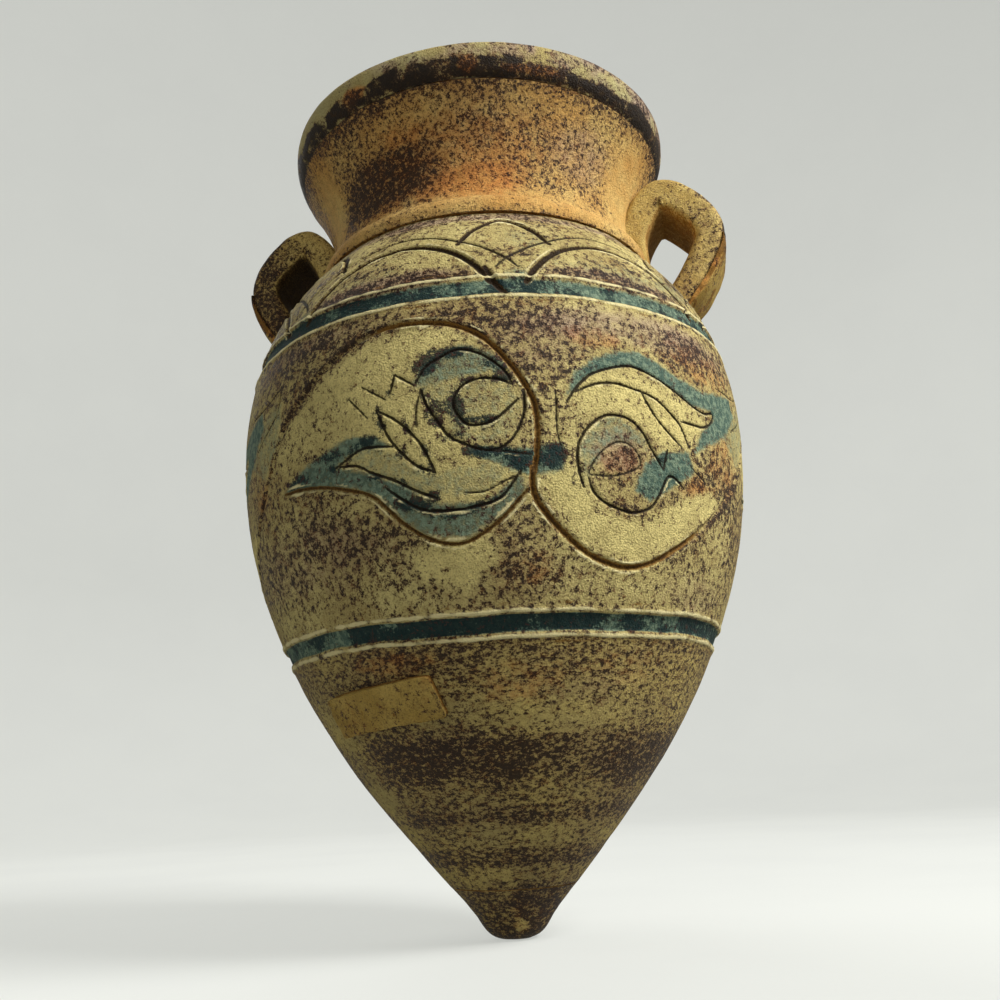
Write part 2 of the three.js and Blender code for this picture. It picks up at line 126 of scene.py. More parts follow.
# One repeat of the scroll, as azimuth and height of a few points on each stroke
SCROLL = (
    (STEM, ((-44, 159), (-37, 175), (-30, 184), (-24, 191), (-17, 197), (-10, 200), (-2, 199.5),
            (4, 197), (9, 192), (13, 184), (16, 176), (18, 168), (18.3, 158), (17.5, 146))),
    (STEM, ((17, 148), (17.3, 140), (19.5, 134), (23, 128), (28, 122), (33, 119), (38, 118),
            (44, 120), (50, 125), (57, 132), (64, 141), (71, 151), (76, 160))),
    # left blossom
    (THIN, ((-4, 178), (-2, 183), (1, 186), (4, 188), (7, 187), (10, 184), (13, 179), (14, 175))),
    (THIN, ((14, 175), (11, 177), (7, 177), (4, 174), (3, 169), (5, 163), (8, 162), (11, 164), (15, 170))),
    (THIN, ((-3, 176), (-2, 170), (0, 164), (2, 159), (5, 156), (8, 154), (11, 154), (14, 158),
            (16, 166), (16, 173))),
    (THIN, ((-9, 176), (-8, 182))),
    (THIN, ((-8, 182), (-4.5, 177.5))),
    (FAINT, ((-15, 180), (-10, 174))),
    (FAINT, ((-18, 177), (-14, 169))),
    (FAINT, ((-4, 163), (-4, 169), (-3, 176))),
    (THIN, ((-12, 171), (-9.5, 160.5), (-5, 151.5), (-1, 148))),
    (THIN, ((-12, 171), (-7.5, 165.5), (-3.5, 157.5), (-1, 148))),
    (THIN, ((-9, 158), (-13, 159), (-16, 159), (-19, 157), (-22, 155))),
    (THIN, ((-21, 155), (-17, 154), (-14, 151), (-9, 147), (-5, 143), (-1, 140))),
    (THIN, ((-11, 145), (-8, 141), (-4, 137), (1, 136), (6, 136.5), (11, 139), (15, 147))),
    (BOLD, ((-38, 152), (-32, 151.5), (-25, 149.5), (-18, 146), (-14, 143), (-11, 138), (-8, 133),
            (-4, 128.5), (0, 126), (4, 126), (8, 129), (12, 134), (16, 141))),
    (FAINT, ((4, 141), (8, 141), (12, 144), (15, 146))),
    (FAINT, ((8, 154), (17, 152))),
    # right blossom
    (THIN, ((24, 169), (26, 174), (29, 179), (33, 182), (38, 184), (43, 182), (48, 179), (54, 175),
            (58, 174), (61.5, 175.5), (61, 172), (57, 168.5), (50, 168))),
    (THIN, ((26, 173), (30, 176), (34, 177), (38, 176), (43, 174), (47, 170), (50, 166), (52, 160))),
    (THIN, ((40, 175), (42, 170), (44, 166), (48, 161), (50, 159))),
    (THIN, ((27, 142), (26, 148), (26, 155), (28, 161), (31, 165), (34, 166), (37, 165), (40, 161),
            (42, 156), (45, 150))),
    (THIN, ((45, 150), (46, 157))),
    (FAINT, ((28, 146), (29, 150), (31, 154), (34, 157), (37, 156.5), (39, 153), (39, 150), (37, 148),
             (33, 146), (28, 146))),
    (THIN, ((28, 145), (29, 141), (31, 138), (34, 136), (38, 135), (42, 137), (44, 141), (46, 147.5),
            (48, 148), (51, 145))),
    (FAINT, ((53, 153), (58, 149))),
    (FAINT, ((22, 173), (22, 167), (22, 160), (23, 153))),
    # leaf tip that reaches over the next stem
    (FAINT, ((82, 192), (75, 188), (65, 187))),
    (FAINT, ((82, 191), (80, 182), (71, 173))),
)

# One arch of the shoulder, from its own middle
ARCH = (
    (OUTER_ARCH, ((-28, 221), (-26, 225), (-21, 231), (-16, 235), (-9, 239.5), (0, 242), (9, 239.5),
                  (16, 235), (21, 231), (26, 225), (28, 221))),
    (ARCHED, ((-22, 214.5), (-19, 222), (-14, 229.5), (-7, 234.5), (0, 236), (7, 234.5), (14, 229.5),
              (19, 222), (22, 214.5))),
    (ARCHED, ((15, 234), (17.5, 241), (21, 246), (25.7, 249), (30.5, 246), (34, 241), (36.5, 234))),
)
# The one stroke that ran on over the band
OVERRUN = (ARCHED, ((10, 221), (12, 214), (14, 209.5)))

# Areas of teal paint in one repeat of the scroll: strength and outline
TEAL_AREAS = (
    (1.0, ((24, 171), (26, 180), (30, 185), (36, 189), (40, 190), (44, 188), (50, 184), (58, 182),
           (73, 187), (74, 180), (67, 169), (61, 164), (53, 157), (57, 167), (62, 173), (61, 176),
           (54, 175), (43, 182), (38, 184), (33, 182), (29, 179))),
    (1.0, ((38, 142), (40, 151), (45, 156), (52, 158), (54, 151), (48, 145), (42, 139))),
    (0.5, ((27, 143), (26, 155), (30, 164), (34, 166), (40, 161), (42, 154), (38, 157), (32, 156),
           (29, 148))),
    (0.64, ((-5, 177), (-3, 184), (1, 188), (5, 190), (10, 187), (14, 181), (10, 179), (4, 178),
            (-1, 176))),
    (0.36, ((-3, 176), (13, 178), (16, 170), (14, 158), (9, 155), (3, 158))),
    (0.85, ((-38, 152), (-31, 158), (-25, 161), (-19, 164), (-13, 163), (-9, 158), (-18, 158), (-22, 155),
            (-14, 151), (-4, 142), (-10, 140), (-18, 147), (-28, 150))),
    (0.75, ((-14, 146), (-8, 142), (0, 138), (8, 138), (15, 146), (16, 141), (12, 134), (4, 127),
            (-4, 129), (-11, 138))),
    (0.42, ((-20, 157), (-12, 159), (-2, 148), (8, 150), (15, 150), (8, 140), (-2, 140), (-10, 147))),
    (0.9, ((4, 154), (8, 155), (17, 154), (23, 156), (23, 147), (17, 145), (12, 148))),
    (0.45, ((66, 168), (70, 178), (80, 188), (84, 182), (80, 170), (74, 160))),
)
# Areas of clean pale slip in one repeat
SLIP_AREAS = (
    (0.62, ((-42, 160), (-37, 173), (-30, 182), (-22, 190), (-14, 194), (-14, 170), (-18, 160), (-26, 163),
            (-36, 157))),
    (0.9, ((-24, 186), (-14, 196), (-6, 198), (2, 196), (8, 191), (3, 190), (-4, 185), (-5, 178), (-3, 170),
           (-4, 163), (-9, 160), (-18, 162), (-20, 174))),
    (0.75, ((-20, 157), (-12, 171), (-4, 177), (-1, 166), (5, 155), (14, 152), (16, 146), (8, 138),
            (-2, 139), (-12, 150))),
    (0.95, ((19, 148), (20, 138), (24, 129), (29, 123.5), (36, 120), (43, 121.5), (51, 128), (59, 136),
            (66, 145), (58, 146), (50, 141), (45, 136), (37, 132), (29, 137), (26, 147))),
    (0.85, ((25, 172), (30, 180), (38, 183), (46, 179), (55, 173), (58, 169), (52, 159), (45, 157),
            (40, 163), (34, 168), (28, 165))),
    (0.9, ((-8, 124), (0, 126), (9, 128), (10, 120), (4, 112), (-5, 115))),
    (0.5, ((70, 172), (76, 178), (84, 185), (88, 176), (82, 164), (76, 156))),
    (0.5, ((-5, 176), (4, 188), (13, 180), (16, 168), (12, 156), (4, 157))),
)
# Thin streaks of teal on the shoulder: azimuth, height, half width, half height, amount
SHOULDER_TEAL = (
    (44, 223, 26, 7, 0.36), (62, 231, 14, 9, 0.36), (20, 236, 9, 8, 0.3), (-18, 224, 14, 5, 0.28),
    (-44, 226, 14, 8, 0.3), (150, 226, 22, 8, 0.3), (-140, 230, 20, 8, 0.3),
)
# Blots of blue black in one repeat: azimuth, height, half width, half height, amount
INK_BLOTS = (
    (-2.5, 183, 4, 4, 0.75), (1, 187, 5, 2.6, 0.8), (6, 187.5, 5, 2, 0.5), (11, 182.5, 3, 4, 0.55),
    (3.2, 168.5, 2.6, 5, 0.75), (6.5, 163.5, 4.5, 2.2, 0.7), (-0.8, 167, 2.4, 6, 0.7),
    (3, 158.5, 4, 3, 0.6),
    (9, 153.5, 7, 2.6, 0.75), (15.5, 150.5, 4.5, 3.4, 0.85), (21.5, 152, 3.6, 6, 0.9), (10, 177, 5, 2, 0.4),
    (-33, 154.5, 5, 3, 0.75), (-24, 159.5, 6, 2.6, 0.55), (-14, 161.5, 5, 2, 0.6), (-22, 155, 3, 1.6, 0.6),
    (-6, 139.5, 5, 3, 0.65), (1, 134.5, 5, 2.4, 0.5), (9, 138, 4, 2, 0.5), (-15, 149, 5, 1.6, 0.4),
    (42, 142, 4, 3, 0.4), (45, 154, 4, 3, 0.45), (28, 182, 4, 3, 0.3), (26, 146, 2.4, 5, 0.3),
)

# Speckle: share of the ground that dark specks cover, by height on the wall
SPECKLE_BY_HEIGHT = (
    (0, 1.0), (8, 0.96), (13, 0.92), (18, 0.78), (21, 0.5), (25, 0.5), (27.5, 0.8), (31, 0.74),
    (34, 0.42), (39.5, 0.44), (42, 0.8), (44.5, 0.72), (48, 0.56), (52, 0.62), (56, 0.86), (66, 0.88),
    (69.5, 0.62), (73, 0.52), (79, 0.54), (86, 0.64), (96, 0.68), (107, 0.46), (120, 0.46), (150, 0.54),
    (190, 0.55), (206, 0.58), (218, 0.44), (224, 0.36), (244, 0.32), (250, 0.5), (255.5, 0.6), (257.5, 0.2),
    (264, 0.2), (269, 0.4), (276, 0.52), (292, 0.52), (302, 0.5), (308, 0.75),
)
# Patches of more or less speckle: azimuth, height, half width, half height, amount
SPECKLE_PATCHES = (
    (-40, 126, 38, 20, 0.2), (16, 117, 11, 8, 0.14), (12, 198, 20, 9, 0.2), (-4, 110, 16, 7, -0.2),
    (24, 186, 8, 14, 0.12), (60, 196, 16, 8, 0.2), (44, 205, 26, 4, -0.2), (-35, 201, 26, 7, 0.2),
    (36, 133, 12, 5, 0.3), (34, 151, 7, 8, 0.16), (64, 148, 12, 16, 0.2), (50, 112, 22, 6, -0.08),
    (80, 136, 14, 26, 0.2), (-24, 281, 24, 13, 0.62), (-40, 272, 12, 10, 0.3), (-8, 290, 12, 8, 0.12),
    (10, 271, 12, 8, -0.1), (72, 286, 17, 24, -0.55), (-56, 288, 12, 22, -0.45), (40, 289, 16, 14, 0.06),
    (6, 302, 40, 5, -0.06), (-11, 218.5, 24, 5, 0.62), (40.5, 219, 22, 5, 0.5), (92, 218, 20, 5, 0.5),
    (-62, 218, 20, 5, 0.5), (143, 218, 20, 5, 0.5), (-114, 218, 20, 5, 0.45), (195, 218, 20, 5, 0.45),
    (-14, 227, 16, 3, 0.25), (16, 229, 8, 5, 0.34), (44, 228, 14, 4, 0.24), (66, 232, 10, 8, 0.25),
    (-36, 236, 12, 6, 0.28), (-52, 60, 14, 30, -0.45), (30, 72, 24, 5, -0.1), (21, 14, 16, 6, 0.2),
    (18, 5, 12, 3.5, -0.5), (-8, 62, 40, 8, 0.08), (150, 60, 30, 18, -0.25), (200, 150, 30, 22, 0.2),
    (140, 130, 26, 16, -0.2), (-130, 190, 26, 12, 0.18), (170, 282, 26, 14, 0.3), (220, 290, 20, 12, -0.2),
    (130, 275, 16, 10, 0.2),
)
# Patches where the ground turns orange
WARM_PATCHES = (
    (56, 143, 7, 9, 0.95), (60, 192, 20, 10, 0.55), (30, 193, 9, 5, 0.6), (34, 151, 8, 7, 0.6),
    (66, 158, 10, 14, 0.55), (8, 272, 22, 9, 0.85), (-20, 270, 22, 6, 0.55), (-15, 296, 10, 6, 0.35),
    (24, 262, 40, 6, 0.3), (4, 286, 44, 17, 0.6), (-18, 92, 16, 5, 0.6), (14, 84, 16, 9, 0.45),
    (42, 88, 14, 7, 0.35), (16, 117, 9, 6, 0.4), (30, 131, 10, 5, 0.5), (-48, 160, 8, 20, 0.4),
    (18, 8, 20, 7, 0.4), (160, 175, 20, 14, 0.6), (-150, 120, 22, 12, 0.4), (210, 276, 22, 9, 0.7),
    (120, 90, 18, 8, 0.5),
)
# Patches where specks and ground turn grey violet
VIOLET_PATCHES = (
    (46, 288, 18, 16, 0.65), (46, 199, 36, 10, 0.8), (-36, 203, 30, 5, 0.5), (20, 190, 14, 14, 0.45),
    (-36, 128, 34, 18, 0.5), (34, 154, 9, 11, 0.8), (0, 252.5, 180, 3.6, 0.85), (-11, 219, 24, 6, 0.8),
    (40, 219, 24, 6, 0.7), (60, 112, 16, 10, 0.4), (36, 82, 22, 8, 0.35), (190, 140, 40, 20, 0.45),
    (150, 290, 20, 12, 0.5),
)
SPECKLE_DRIFT = 0.21
DRIFT_SIZE = 34.0
# Heights between which the wall carries the scroll's paint
BELLY_PAINT = (105.0, 208.0)

# The lip: edges of its dark line, the radius where its inside starts, and rust spots given like patches
LIP_LINE_TOP = 314.4
LIP_LINE_LOW = 308.2
LIP_INSIDE = 76.0
LIP_RUST = (
    (8, 312.5, 3.6, 4, 1.0), (-27, 313, 6, 3.5, 1.0), (26, 311, 12, 2.5, 0.8), (150, 313, 8, 4, 0.8),
)

# Strap handles: middle line in reach and height, widths and thicknesses
STRAP_LINE = ((64.7, 251.0), (64.7, 271.0), (77.0, 289.0), (93.3, 277.5), (97.2, 265.5), (90.0, 251.0),
              (83.3, 241.5), (79.3, 235.8))
STRAP_WIDTH = 30.0
STRAP_ROUND = 4.0
STRAP_THICKNESS = ((0.0, 13.0), (0.42, 11.5), (1.0, 12.0))
STRAP_ROWS = 150
STRAP_STEP = 0.5
SECTION_STEP = 1.0
CORNER_STEPS = 7
STRAP_BEDDING = 1.8
STRAP_WOBBLE = (22.0, 0.7)
STRAP_DENTS = (6.0, 0.3)
# Black on each strap's inner face, by side: painted shade on the left handle, which lies in shade
STRAP_INNER_PAINTED_SHADE = {1: 0.0, -1: 0.5}
# More speckle on the outer face, by side: the left handle's dark mottling and painted shade
STRAP_OUTER_MOTTLE_AND_SHADE = {1: 0.0, -1: 0.4}
# Fullness of the pulled clay along the strap: share of its length, inner side, outer side
STRAP_FULLNESS = ((0.0, 1.2, 0.0), (0.2, 1.6, 0.0), (0.36, 2.4, 0.2), (0.44, 2.6, 1.4), (0.52, 2.6, 1.2),
                  (0.62, 2.4, 0.0), (0.8, 1.0, 0.0), (1.0, 0.0, 0.0))

# Wad of clay smeared over the outer root of each strap
WAD_SHARES = (0.68, 0.98)
WAD_BULGE = 2.2
WAD_EDGE = 0.25
WAD_SINK = 1.6
WAD_WIDTH = 29.4
WAD_MEETING = 16.0
WAD_ROWS = 64
WAD_COLUMNS = 60
WAD_WOBBLE = (9.0, 0.7)

# Small raised tablet, left bare
TABLET_LENGTH = 48.0
TABLET_HEIGHT = 15.5
TABLET_MIDDLE = 80.0
TABLET_AZIMUTH = -25.5
TABLET_TILT = 5.0
TABLET_PROUD = 2.4
TABLET_BED = 1.2
TABLET_ROUND = 2.0
TABLET_RIM = 0.6
TABLET_COLUMNS = 72
TABLET_ROWS = 26
TABLET_DENTS = (4.0, 0.8)

# Finishes, as colours on the screen
SLIP_PALE = (220, 203, 132)
SLIP_GREEN = (208, 192, 126)
SLIP_SHADE = (176, 158, 100)
CONE_PALE = (204, 182, 108)
GRIT = (104, 88, 52)
OCHRE = (212, 178, 108)
OCHRE_DEEP = (200, 152, 82)
STRAP_TAN = (212, 186, 112)
STRAP_DEEP = (186, 154, 84)
ORANGE = (206, 128, 60)
VIOLET_GREY = (170, 144, 132)
RAW_CLAY = (164, 116, 66)
WASH_BROWN = (156, 116, 76)
WASH_VIOLET = (148, 114, 104)
PURPLE_BROWN = (96, 58, 48)
RUST_BROWN = (138, 76, 32)
BLACK_BROWN = (18, 11, 7)
TEAL_BLACK = (16, 36, 38)
TEAL_DEEP = (54, 84, 78)
TEAL_PALE = (116, 136, 114)
CUT_BROWN = (130, 92, 36)
CUT_DARK = (60, 38, 14)
CUT_BLACK = (30, 22, 14)
# Pale of the rubbed burrs and band ridges, and the painted highlight beside thin lines
BURR_PALE_AND_HIGHLIGHT = (230, 216, 160)
LIP_GREEN = (176, 168, 120)
TAN = (200, 172, 96)
TAN_DEEP = (162, 132, 64)
SHEET = (150, 151, 147)
# Darker sheet colour: painted shade of cloth folds
SHEET_FOLD_SHADE = (142, 143, 140)
SHEET_GLOW = (222, 224, 218)
CLAY_SPECULAR = 0.14
SHEET_SPECULAR = 0.1
BUMP_STRENGTH = 0.95
CLAY_BUMP = 0.55
SHEET_BUMP = 0.05

# Camera and light
CAMERA_PLACE = (68.3, -387.4, 52.0)
CAMERA_TURN = 10.0
CAMERA_YAW = 0.25
CAMERA_PITCH = 16.09
CAMERA_ROLL = -2.85
LENS = 36.0
SENSOR = 36.0
STAGE_GLOW = 0.66
STAGE_FLOOR = -0.3
STAGE_FLAT = 1100.0
STAGE_REACH = 1700.0
STAGE_BEND = 600.0
STAGE_TOP = 2800.0
STAGE_STEPS = 96
STAGE_BEND_STEPS = 24
# Lamps: name, azimuth, elevation, distance and size in metres, watts
LAMPS = (
    ("key_lamp", 68.0, 40.0, 1.3, 0.5, 24.5),
    ("fill_lamp", -10.0, 22.0, 1.4, 1.0, 3.0),
    ("back_lamp", 215.0, 45.0, 1.4, 0.9, 9.0),
)
LAMPS_AIM = 170.0
ROOM_COLOUR = (1.0, 0.98, 0.95, 1.0)
ROOM_STRENGTH = 0.18
SIDES = ((1, "right"), (-1, "left"))


def bezier(points, count=CURVE_STEPS):
    """Points along a curve with these control points."""
    share = np.linspace(0.0, 1.0, count)[:, None]
    layer = [np.tile(np.array(p, float), (count, 1)) for p in points]
    while len(layer) > 1:
        layer = [a + (b - a) * share for a, b in zip(layer, layer[1:])]
    return layer[0]


def lengths_along(line):
    """Length from the start of a line to each of its points."""
    return np.concatenate(([0.0], np.cumsum(np.linalg.norm(np.diff(line, axis=0), axis=1))))


def resampled(line, count):
    """The same line with this many points, evenly apart."""
    lengths = lengths_along(line)
    places = np.linspace(0.0, lengths[-1], count)
    return np.stack([np.interp(places, lengths, line[:, i]) for i in range(line.shape[1])], axis=1)


def spaced(line, step):
    """The same line with points at even steps."""
    return resampled(line, max(2, round(lengths_along(line)[-1] / step) + 1))


def directions(line):
    """Unit vectors along a line."""
    along = np.gradient(line, axis=0)
    return along / np.linalg.norm(along, axis=1)[:, None]


def smooth_through(points, step):
    """Smooth line through a few points, at even steps."""
    given = np.array(points, float)
    padded = np.vstack([2 * given[0] - given[1], given, 2 * given[-1] - given[-2]])
    share = np.linspace(0.0, 1.0, SPAN_STEPS, endpoint=False)[:, None]
    line = []
    for a, b, c, d in zip(padded, padded[1:], padded[2:], padded[3:]):
        bend = (2 * a - 5 * b + 4 * c - d) * share**2 + (3 * b - a - 3 * c + d) * share**3
        line.append(b + ((c - a) * share + bend) / 2)
    return spaced(np.vstack([*line, given[-1:]]), step)


OUTSIDE = np.vstack([
    bezier(LOWER_WALL),
    bezier(UPPER_WALL)[1:],
    bezier(NECK_ROLL)[1:],
    bezier(NECK_FLARE)[1:],
])


def radius_at(height):
    return np.interp(height, OUTSIDE[:, 1], OUTSIDE[:, 0])


def outside_between(low, high):
    """Outside of the wall between two heights."""
    inner = OUTSIDE[(OUTSIDE[:, 1] > low + 0.01) & (OUTSIDE[:, 1] < high - 0.01)]
    return np.vstack([(radius_at(low), low), inner, (radius_at(high), high)])


def inset(line, depth):
    """The line moved into the clay."""
    along = directions(line)
    return line + depth * np.stack([-along[:, 1], along[:, 0]], axis=1)


def on_wall(azimuth, height, radius=None):
    """Places on the outside of the wall, in metres."""
    turn = np.radians(azimuth)
    reach = radius_at(height) if radius is None else radius
    return MM * np.stack([reach * np.sin(turn), -reach * np.cos(turn), height + 0 * turn], axis=-1)


def coords_of(piece):
    flat = np.empty(len(piece.data.vertices) * 3, np.float32)
    piece.data.vertices.foreach_get("co", flat)
    return flat.reshape(-1, 3).astype(float)


def place_vertices(piece, coords):
    piece.data.vertices.foreach_set("co", np.asarray(coords, np.float32).ravel())
    piece.data.update()


def around(piece):
    """Azimuth, height and distance from the axis of every vertex."""
    x, y, z = coords_of(piece).T / MM
    return np.degrees(np.arctan2(x, -y)), z, np.hypot(x, y)


def grain(coords, size, seed=0.0):
    """Cloudy field between -1 and 1 with features of this size."""
    shift = Vector((seed, 2.7 * seed, -1.9 * seed))
    return np.array([noise.noise(Vector(p) / (size * MM) + shift) for p in coords])


def soft_step(value, low, high):
    share = np.clip((value - low) / (high - low), 0.0, 1.0)
    return share * share * (3 - 2 * share)


# Modelling steps


def new_piece(name):
    """Empty mesh object in edit mode."""
    bpy.ops.object.select_all(action="DESELECT")
    bpy.ops.mesh.primitive_plane_add(size=MM)
    piece = bpy.context.object
    piece.name = name
    piece.data.name = name
    bpy.context.tool_settings.mesh_select_mode = (True, False, False)
    bpy.ops.object.mode_set(mode="EDIT")
    bpy.ops.mesh.delete(type="VERT")
    return piece


def flat_grid(name, columns, rows, size=2.0):
    """Named grid of faces in the XY plane, to be laid where its piece goes."""
    bpy.ops.object.select_all(action="DESELECT")
    bpy.ops.mesh.primitive_grid_add(x_subdivisions=columns, y_subdivisions=rows, size=size)
    piece = bpy.context.object
    piece.name = name
    piece.data.name = name
    return piece


def draw_line(points):
    """Chain of edges in the XZ plane through points of radius and height."""
    start = (points[0][0] * MM, 0.0, points[0][1] * MM)
    bpy.ops.mesh.select_all(action="DESELECT")
    bpy.ops.mesh.primitive_plane_add(size=MM, location=start)
    bpy.ops.mesh.merge(type="CENTER")
    for reach, rise in np.diff(points, axis=0) * MM:
        bpy.ops.mesh.extrude_region_move(TRANSFORM_OT_translate={"value": (reach, 0.0, rise)})


def spin_all(steps):
    bpy.ops.mesh.select_all(action="SELECT")
    bpy.ops.mesh.spin(steps=steps, angle=math.tau, center=(0, 0, 0), axis=(0, 0, 1))
    bpy.ops.mesh.select_all(action="SELECT")
    bpy.ops.mesh.remove_doubles(threshold=MERGE_WITHIN * MM)
    bpy.ops.mesh.normals_make_consistent(inside=False)
    bpy.ops.object.mode_set(mode="OBJECT")


def select_faces(piece, chosen):
    bpy.context.tool_settings.mesh_select_mode = (False, False, True)
    bpy.ops.object.mode_set(mode="EDIT")
    bpy.ops.mesh.select_all(action="DESELECT")
    bpy.ops.object.mode_set(mode="OBJECT")
    piece.data.polygons.foreach_set("select", chosen)
    bpy.ops.object.mode_set(mode="EDIT")


def subdivide_where(piece, wanted):
    """Finer faces where every corner of a face is wanted."""
    mesh = piece.data
    corners = np.empty(len(mesh.loops), np.int32)
    mesh.loops.foreach_get("vertex_index", corners)
    starts = np.empty(len(mesh.polygons), np.int32)
    mesh.polygons.foreach_get("loop_start", starts)
    chosen = np.minimum.reduceat(wanted[corners].astype(np.int8), starts) > 0
    select_faces(piece, chosen)
    bpy.ops.mesh.subdivide(number_cuts=FINE_CUTS)
    bpy.ops.object.mode_set(mode="OBJECT")


def weigh(piece, name, weights):
    """Vertex group with these weights."""
    group = piece.vertex_groups.new(name=name)
    for index in np.flatnonzero(weights > LEAST_WEIGHT):
        group.add([int(index)], float(min(1.0, weights[index])), "REPLACE")
    return name


def press(piece, name, weights, depth):
    """Moves the surface out by a depth times the weights, or in where the depth is negative."""
    step = piece.modifiers.new(name, "DISPLACE")
    step.vertex_group = weigh(piece, name, weights)
    step.mid_level = 0.0
    step.strength = depth * MM
    bpy.ops.object.modifier_apply(modifier=name)
    piece.vertex_groups.clear()


def uneven(piece, name, size, depth):
    """Presses a cloudy unevenness into the surface."""
    clouds = bpy.data.textures.new(name, "CLOUDS")
    clouds.noise_scale = size * MM
    clouds.noise_depth = 1
    step = piece.modifiers.new(name, "DISPLACE")
    step.texture = clouds
    step.texture_coords = "LOCAL"
    step.mid_level = 1.0
    step.strength = depth * MM
    bpy.ops.object.modifier_apply(modifier=name)


def thicken(piece, thickness):
    """Gives a sheet of faces this thickness on its inner side."""
    plate = piece.modifiers.new("plate", "SOLIDIFY")
    plate.thickness = thickness * MM
    plate.offset = -1.0
    bpy.ops.object.modifier_apply(modifier="plate")


def face_outwards():
    """Turns all faces of the active piece outwards."""
    bpy.ops.object.mode_set(mode="EDIT")
    bpy.ops.mesh.select_all(action="SELECT")
    bpy.ops.mesh.normals_make_consistent(inside=False)
    bpy.ops.object.mode_set(mode="OBJECT")


def mark(piece, name, values):
    """Keeps a value on every vertex, for the finish to read."""
    field = piece.data.attributes.new(name, "FLOAT", "POINT")
    field.data.foreach_set("value", np.clip(values, 0.0, 1.0).astype(np.float32))


def add_to_mark(piece, name, values):
    field = piece.data.attributes[name]
    kept = np.empty(len(values), np.float32)
    field.data.foreach_get("value", kept)
    field.data.foreach_set("value", np.clip(kept + values, 0.0, 1.0).astype(np.float32))


def close_ends(piece):
    """Joins the outer and inner edges of a wall section into a closed solid."""
    z = coords_of(piece)[:, 2]
    for end in ("low", "high"):
        bpy.context.tool_settings.mesh_select_mode = (False, True, False)
        bpy.ops.object.mode_set(mode="EDIT")
        bpy.ops.mesh.select_all(action="DESELECT")
        bpy.ops.mesh.select_non_manifold(
            extend=False, use_wire=False, use_boundary=True, use_multi_face=False,
            use_non_contiguous=False, use_verts=False,
        )
        bpy.ops.object.mode_set(mode="OBJECT")
        middle = (z.min() + z.max()) / 2
        for edge in piece.data.edges:
            height = z[edge.vertices[0]]
            if edge.select and (height < middle) != (end == "low"):
                edge.select = False
        keep = np.zeros(len(piece.data.vertices), bool)
        for edge in piece.data.edges:
            if edge.select:
                keep[list(edge.vertices)] = True
        piece.data.vertices.foreach_set("select", keep)
        bpy.ops.object.mode_set(mode="EDIT")
        bpy.ops.mesh.bridge_edge_loops()
        bpy.ops.object.mode_set(mode="OBJECT")


def finish_piece(piece, material, slot, *nodes):
    """Smooth faces that point outwards, finish, body, and the nodes it stands for."""
    face_outwards()
    bpy.ops.object.shade_smooth_by_angle(angle=math.radians(SMOOTH_ANGLE))
    piece.data.materials.clear()
    piece.data.materials.append(material)
    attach(piece, "root")
    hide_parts(*nodes)


# Ornament


def repeated(strokes, period, repeats):
    for index in range(repeats):
        for tool, points in strokes:
            yield tool, [(azimuth + index * period, height) for azimuth, height in points]


def incised_strokes():
    arches = [(tool, [(a + ARCH_MIDDLE, h) for a, h in points]) for tool, points in ARCH]
    yield from repeated(SCROLL, FRIEZE_PERIOD, FRIEZE_REPEATS)
    yield from repeated(arches, ARCH_PERIOD, ARCH_REPEATS)
    yield OVERRUN


class Incising:
    """All incised lines as points on the wall, with the half width and depth of the tool there."""

    def __init__(self):
        places, sizes = [], []
        for (half_width, depth, brown, black), points in incised_strokes():
            flat = [(a * math.radians(1) * radius_at(h), h) for a, h in points]
            line = smooth_through(flat, LINE_STEP)
            heights = line[:, 1]
            azimuths = np.degrees(line[:, 0] / radius_at(heights))
            ends = np.minimum(np.arange(len(line)), np.arange(len(line))[::-1]) * LINE_STEP
            fade = 0.35 + 0.65 * soft_step(ends, 0.0, LINE_FADE)
            places.append(on_wall(azimuths, heights))
            stains = [0 * fade + brown, 0 * fade + black]
            sizes.append(np.stack([half_width * (0.7 + 0.3 * fade), depth * fade, *stains], axis=1))
        self.places = np.vstack(places)
        self.sizes = np.vstack(sizes)
        self.tree = KDTree(len(self.places))
        for index, place in enumerate(self.places):
            self.tree.insert(place, index)
        self.tree.balance()

    def near(self, coords):
        """Distance to the nearest line, that line's tool there, and the way from it."""
        found = [self.tree.find(p) for p in coords]
        distance = np.array([f[2] for f in found]) / MM
        return distance, self.sizes[[f[1] for f in found]], coords - np.array([f[0] for f in found])


def band_field(azimuth, height):
    """Depth of the sunk bands, height of their ridges and the dark line outside them, as shares."""
    turn = np.radians(azimuth)
    sway = 0.35 * np.sin(3 * turn + 1) + 0.2 * np.sin(8 * turn + 2) + 0.12 * np.sin(23 * turn)
    sink, ridge, shade = 0 * height, 0 * height, 0 * height
    for low, width in BANDS:
        rise = height - low + sway
        inside = soft_step(rise, BAND_EDGE, BAND_EDGE + BAND_SLOPE)
        inside *= 1 - soft_step(rise, width - BAND_EDGE - BAND_SLOPE, width - BAND_EDGE)
        sink = np.maximum(sink, inside)
        for edge, outward in ((0.7, -1), (width - 0.7, 1)):
            ridge = np.maximum(ridge, np.exp(-(((rise - edge) / RIDGE_WIDTH) ** 2)))
            shade = np.maximum(shade, np.exp(-(((rise - edge - 1.9 * outward) / 0.7) ** 2)))
    return sink, ridge, shade


def folded(azimuth, period, middle):
    """Azimuth moved into the repeat round a middle."""
    return (azimuth - middle + period / 2) % period - period / 2 + middle


def area_field(azimuth, height, areas, soft):
    """Strength of painted areas, soft at their edges, in every repeat of the scroll."""
    spread = math.radians(1) * PAINT_RADIUS
    local = folded(azimuth, FRIEZE_PERIOD, PAINT_MIDDLE)
    total = 0 * height
    for strength, outline in areas:
        corners = np.array(outline, float) * (spread, 1.0)
        total = np.maximum(total, strength * inside_outline(local * spread, height, corners, soft))
    return total


